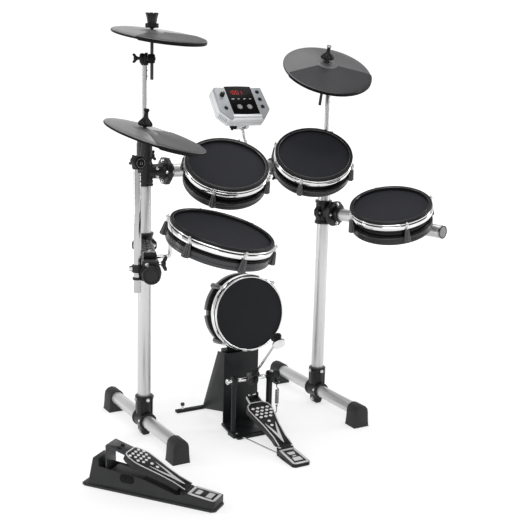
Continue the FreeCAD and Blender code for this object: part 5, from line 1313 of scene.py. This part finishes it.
HB = [(-23, 14), (23, 14), (21.5, 38), (26, 76), (35, 122), (38, 146), (33, 168), (25, 184), (-25, 184), (-33, 168), (-38, 146), (-35, 122), (-26, 76), (-21.5, 38)]
P = Part()
Q = Part()
footboard(Q, HB, 6.0, 0.9, 184.0, 168.5, (55, 72), (6, 17, 21))
SL = Matrix.Translation((0, hpy, hpz + 2)) @ Matrix.Rotation(math.radians(21.4), 4, "X")
for m_ in Q.mats:
    P.mats.append(m_)
P.v += [SL @ p for p in Q.v]
P.f += Q.f
P.m += Q.m
lathe(P, [(3.1, -16), (7, -16), (7, 16), (3.1, 16)], BOARD, aim((0, hpy, hpz), X), 40, 0.6)
box(P, -16, 16, 4, 20, 2, 8, BOARD, SL, 0.8)
# bent bracket plate with two screws, and the tongue that runs down into the slot
PL = Matrix.Translation((0, 247, 101.5)) @ Matrix.Rotation(math.radians(14.5), 4, "X")
slab(P, [(-25, 0), (25, 0), (25, 66), (-25, 66)], 0, 4, RING, PL, 0.9, 2, 2.5)
for q in (-9, 9):
    cyl(P, (q, 34, 4), Z, 5.6, 2.4, KNOB, PL, 0.6, 28)
    slab(P, ngon(6, 2.6), 6.2, 6.7, SHELL, PL @ move(q, 34, 0), 0.1, 1)
box(P, -23, 23, 307.6, 312, 52, 117, RING, I4, 0.9)
box(P, -24, 24, 305, 312, 112, 119.6, RING, I4, 1.6)
P.make("hihat_footboard_v", "hihat_footboard", HP, "board_metal", ["hihat_footboard"])

# ------------------------------------------------------------------ floor, light, camera
bpy.ops.mesh.primitive_plane_add(size=60)
ground = bpy.context.object
ground.name = "ground"
gm = mk("ground_pale", grey(0.52), 0.85, 0.0, 0.01, 2.0, 60.0, 0.02, 0.0005, 0.04, Specular_IOR_Level=0.05, Emission_Color=(1, 1, 1, 1))
gt = gm.node_tree
gl = node(gt, "VectorMath", operation="LENGTH")
gt.links.new(coords(gt), gl.inputs[0])
gt.links.new(span(gt, gl.outputs["Value"], 0.56, 0.98, 0.8, 3.0), gt.nodes["Principled BSDF"].inputs["Emission Strength"])
ground.data.materials.append(gm)
ground.location = (0, 0, -0.0004)

w = scene.world or bpy.data.worlds.new("World")
scene.world = w
w.use_nodes = True
wt = w.node_tree
bg = wt.nodes["Background"]
wc = wt.nodes.new("ShaderNodeTexCoord")
wd = wt.nodes.new("ShaderNodeVectorMath")
wd.operation = "DOT_PRODUCT"
wd.inputs[1].default_value = (math.sin(YAW), math.cos(YAW), 0)
wr = wt.nodes.new("ShaderNodeMapRange")
wr.inputs["From Min"].default_value = -1.0
wk = wt.nodes.new("ShaderNodeValToRGB")
for pos, val in ((0.0, 0.85), (0.26, 0.7), (0.36, 0.58), (0.62, 0.58), (0.84, 0.75), (0.93, 1.0)):
    el = wk.color_ramp.elements.new(pos) if pos not in (0.0,) else wk.color_ramp.elements[0]
    el.position = pos
    el.color = (val, val, val, 1)
wk.color_ramp.elements[-1].color = (1, 1, 1, 1)
wt.links.new(wc.outputs["Generated"], wd.inputs[0])
wt.links.new(wd.outputs["Value"], wr.inputs["Value"])
wt.links.new(wr.outputs["Result"], wk.inputs["Fac"])
wz = wt.nodes.new("ShaderNodeSeparateXYZ")
wf = wt.nodes.new("ShaderNodeMapRange")
for sock, val in (("From Min", 0.3), ("From Max", 0.75), ("To Min", 1.0), ("To Max", 0.22)):
    wf.inputs[sock].default_value = val
wx = wt.nodes.new("ShaderNodeVectorMath")
wx.operation = "SCALE"
wt.links.new(wc.outputs["Generated"], wz.inputs[0])
wt.links.new(wz.outputs["Z"], wf.inputs["Value"])
wt.links.new(wk.outputs["Color"], wx.inputs[0])
wt.links.new(wf.outputs["Result"], wx.inputs["Scale"])
wt.links.new(wx.outputs["Vector"], bg.inputs["Color"])
bg.inputs["Strength"].default_value = 1.06


def light(name, loc, target, sx, sy, power):
    d = bpy.data.lights.new(name, "AREA")
    d.shape = "RECTANGLE"
    d.size, d.size_y, d.energy = sx, sy, power
    o = bpy.data.objects.new(name, d)
    scene.collection.objects.link(o)
    o.location = loc
    o.rotation_euler = (Vector(target) - Vector(loc)).to_track_quat("-Z", "Y").to_euler()
    return o


light("rim_left", (-2.3, 0.9, 1.5), (0, 0, 0.7), 0.35, 2.4, 16)
light("rim_right", (2.2, -0.7, 1.7), (0, 0, 0.7), 0.35, 2.4, 16)
light("key", (-1.6, -2.2, 3.4), (0, 0, 0.5), 2.2, 2.2, 68)
light("top", (0.4, 0.6, 3.6), (0.1, 0, 0.4), 2.6, 2.0, 45)

scene.view_settings.view_transform = "Standard"
scene.view_settings.look = "None"

t, e, roll = math.radians(30.85), 0.21011, 0.026398
fwd = Vector((math.sin(t) * math.cos(e), math.cos(t) * math.cos(e), -math.sin(e)))
rgt = Vector((math.cos(t), -math.sin(t), 0))
upv = rgt.cross(fwd)
cr, sr = math.cos(roll), math.sin(roll)
R2, U2 = rgt * cr + upv * sr, upv * cr - rgt * sr
cam = bpy.data.cameras.new("camera")
cam.sensor_width = 36.0
cam.lens = 1000.0 / 525.0 * 36.0
co = bpy.data.objects.new("camera", cam)
scene.collection.objects.link(co)
M = Matrix((R2, U2, -fwd)).transposed().to_4x4()
M.translation = (-1.36803, -2.41747, 1.1232)
co.matrix_world = M
scene.camera = co
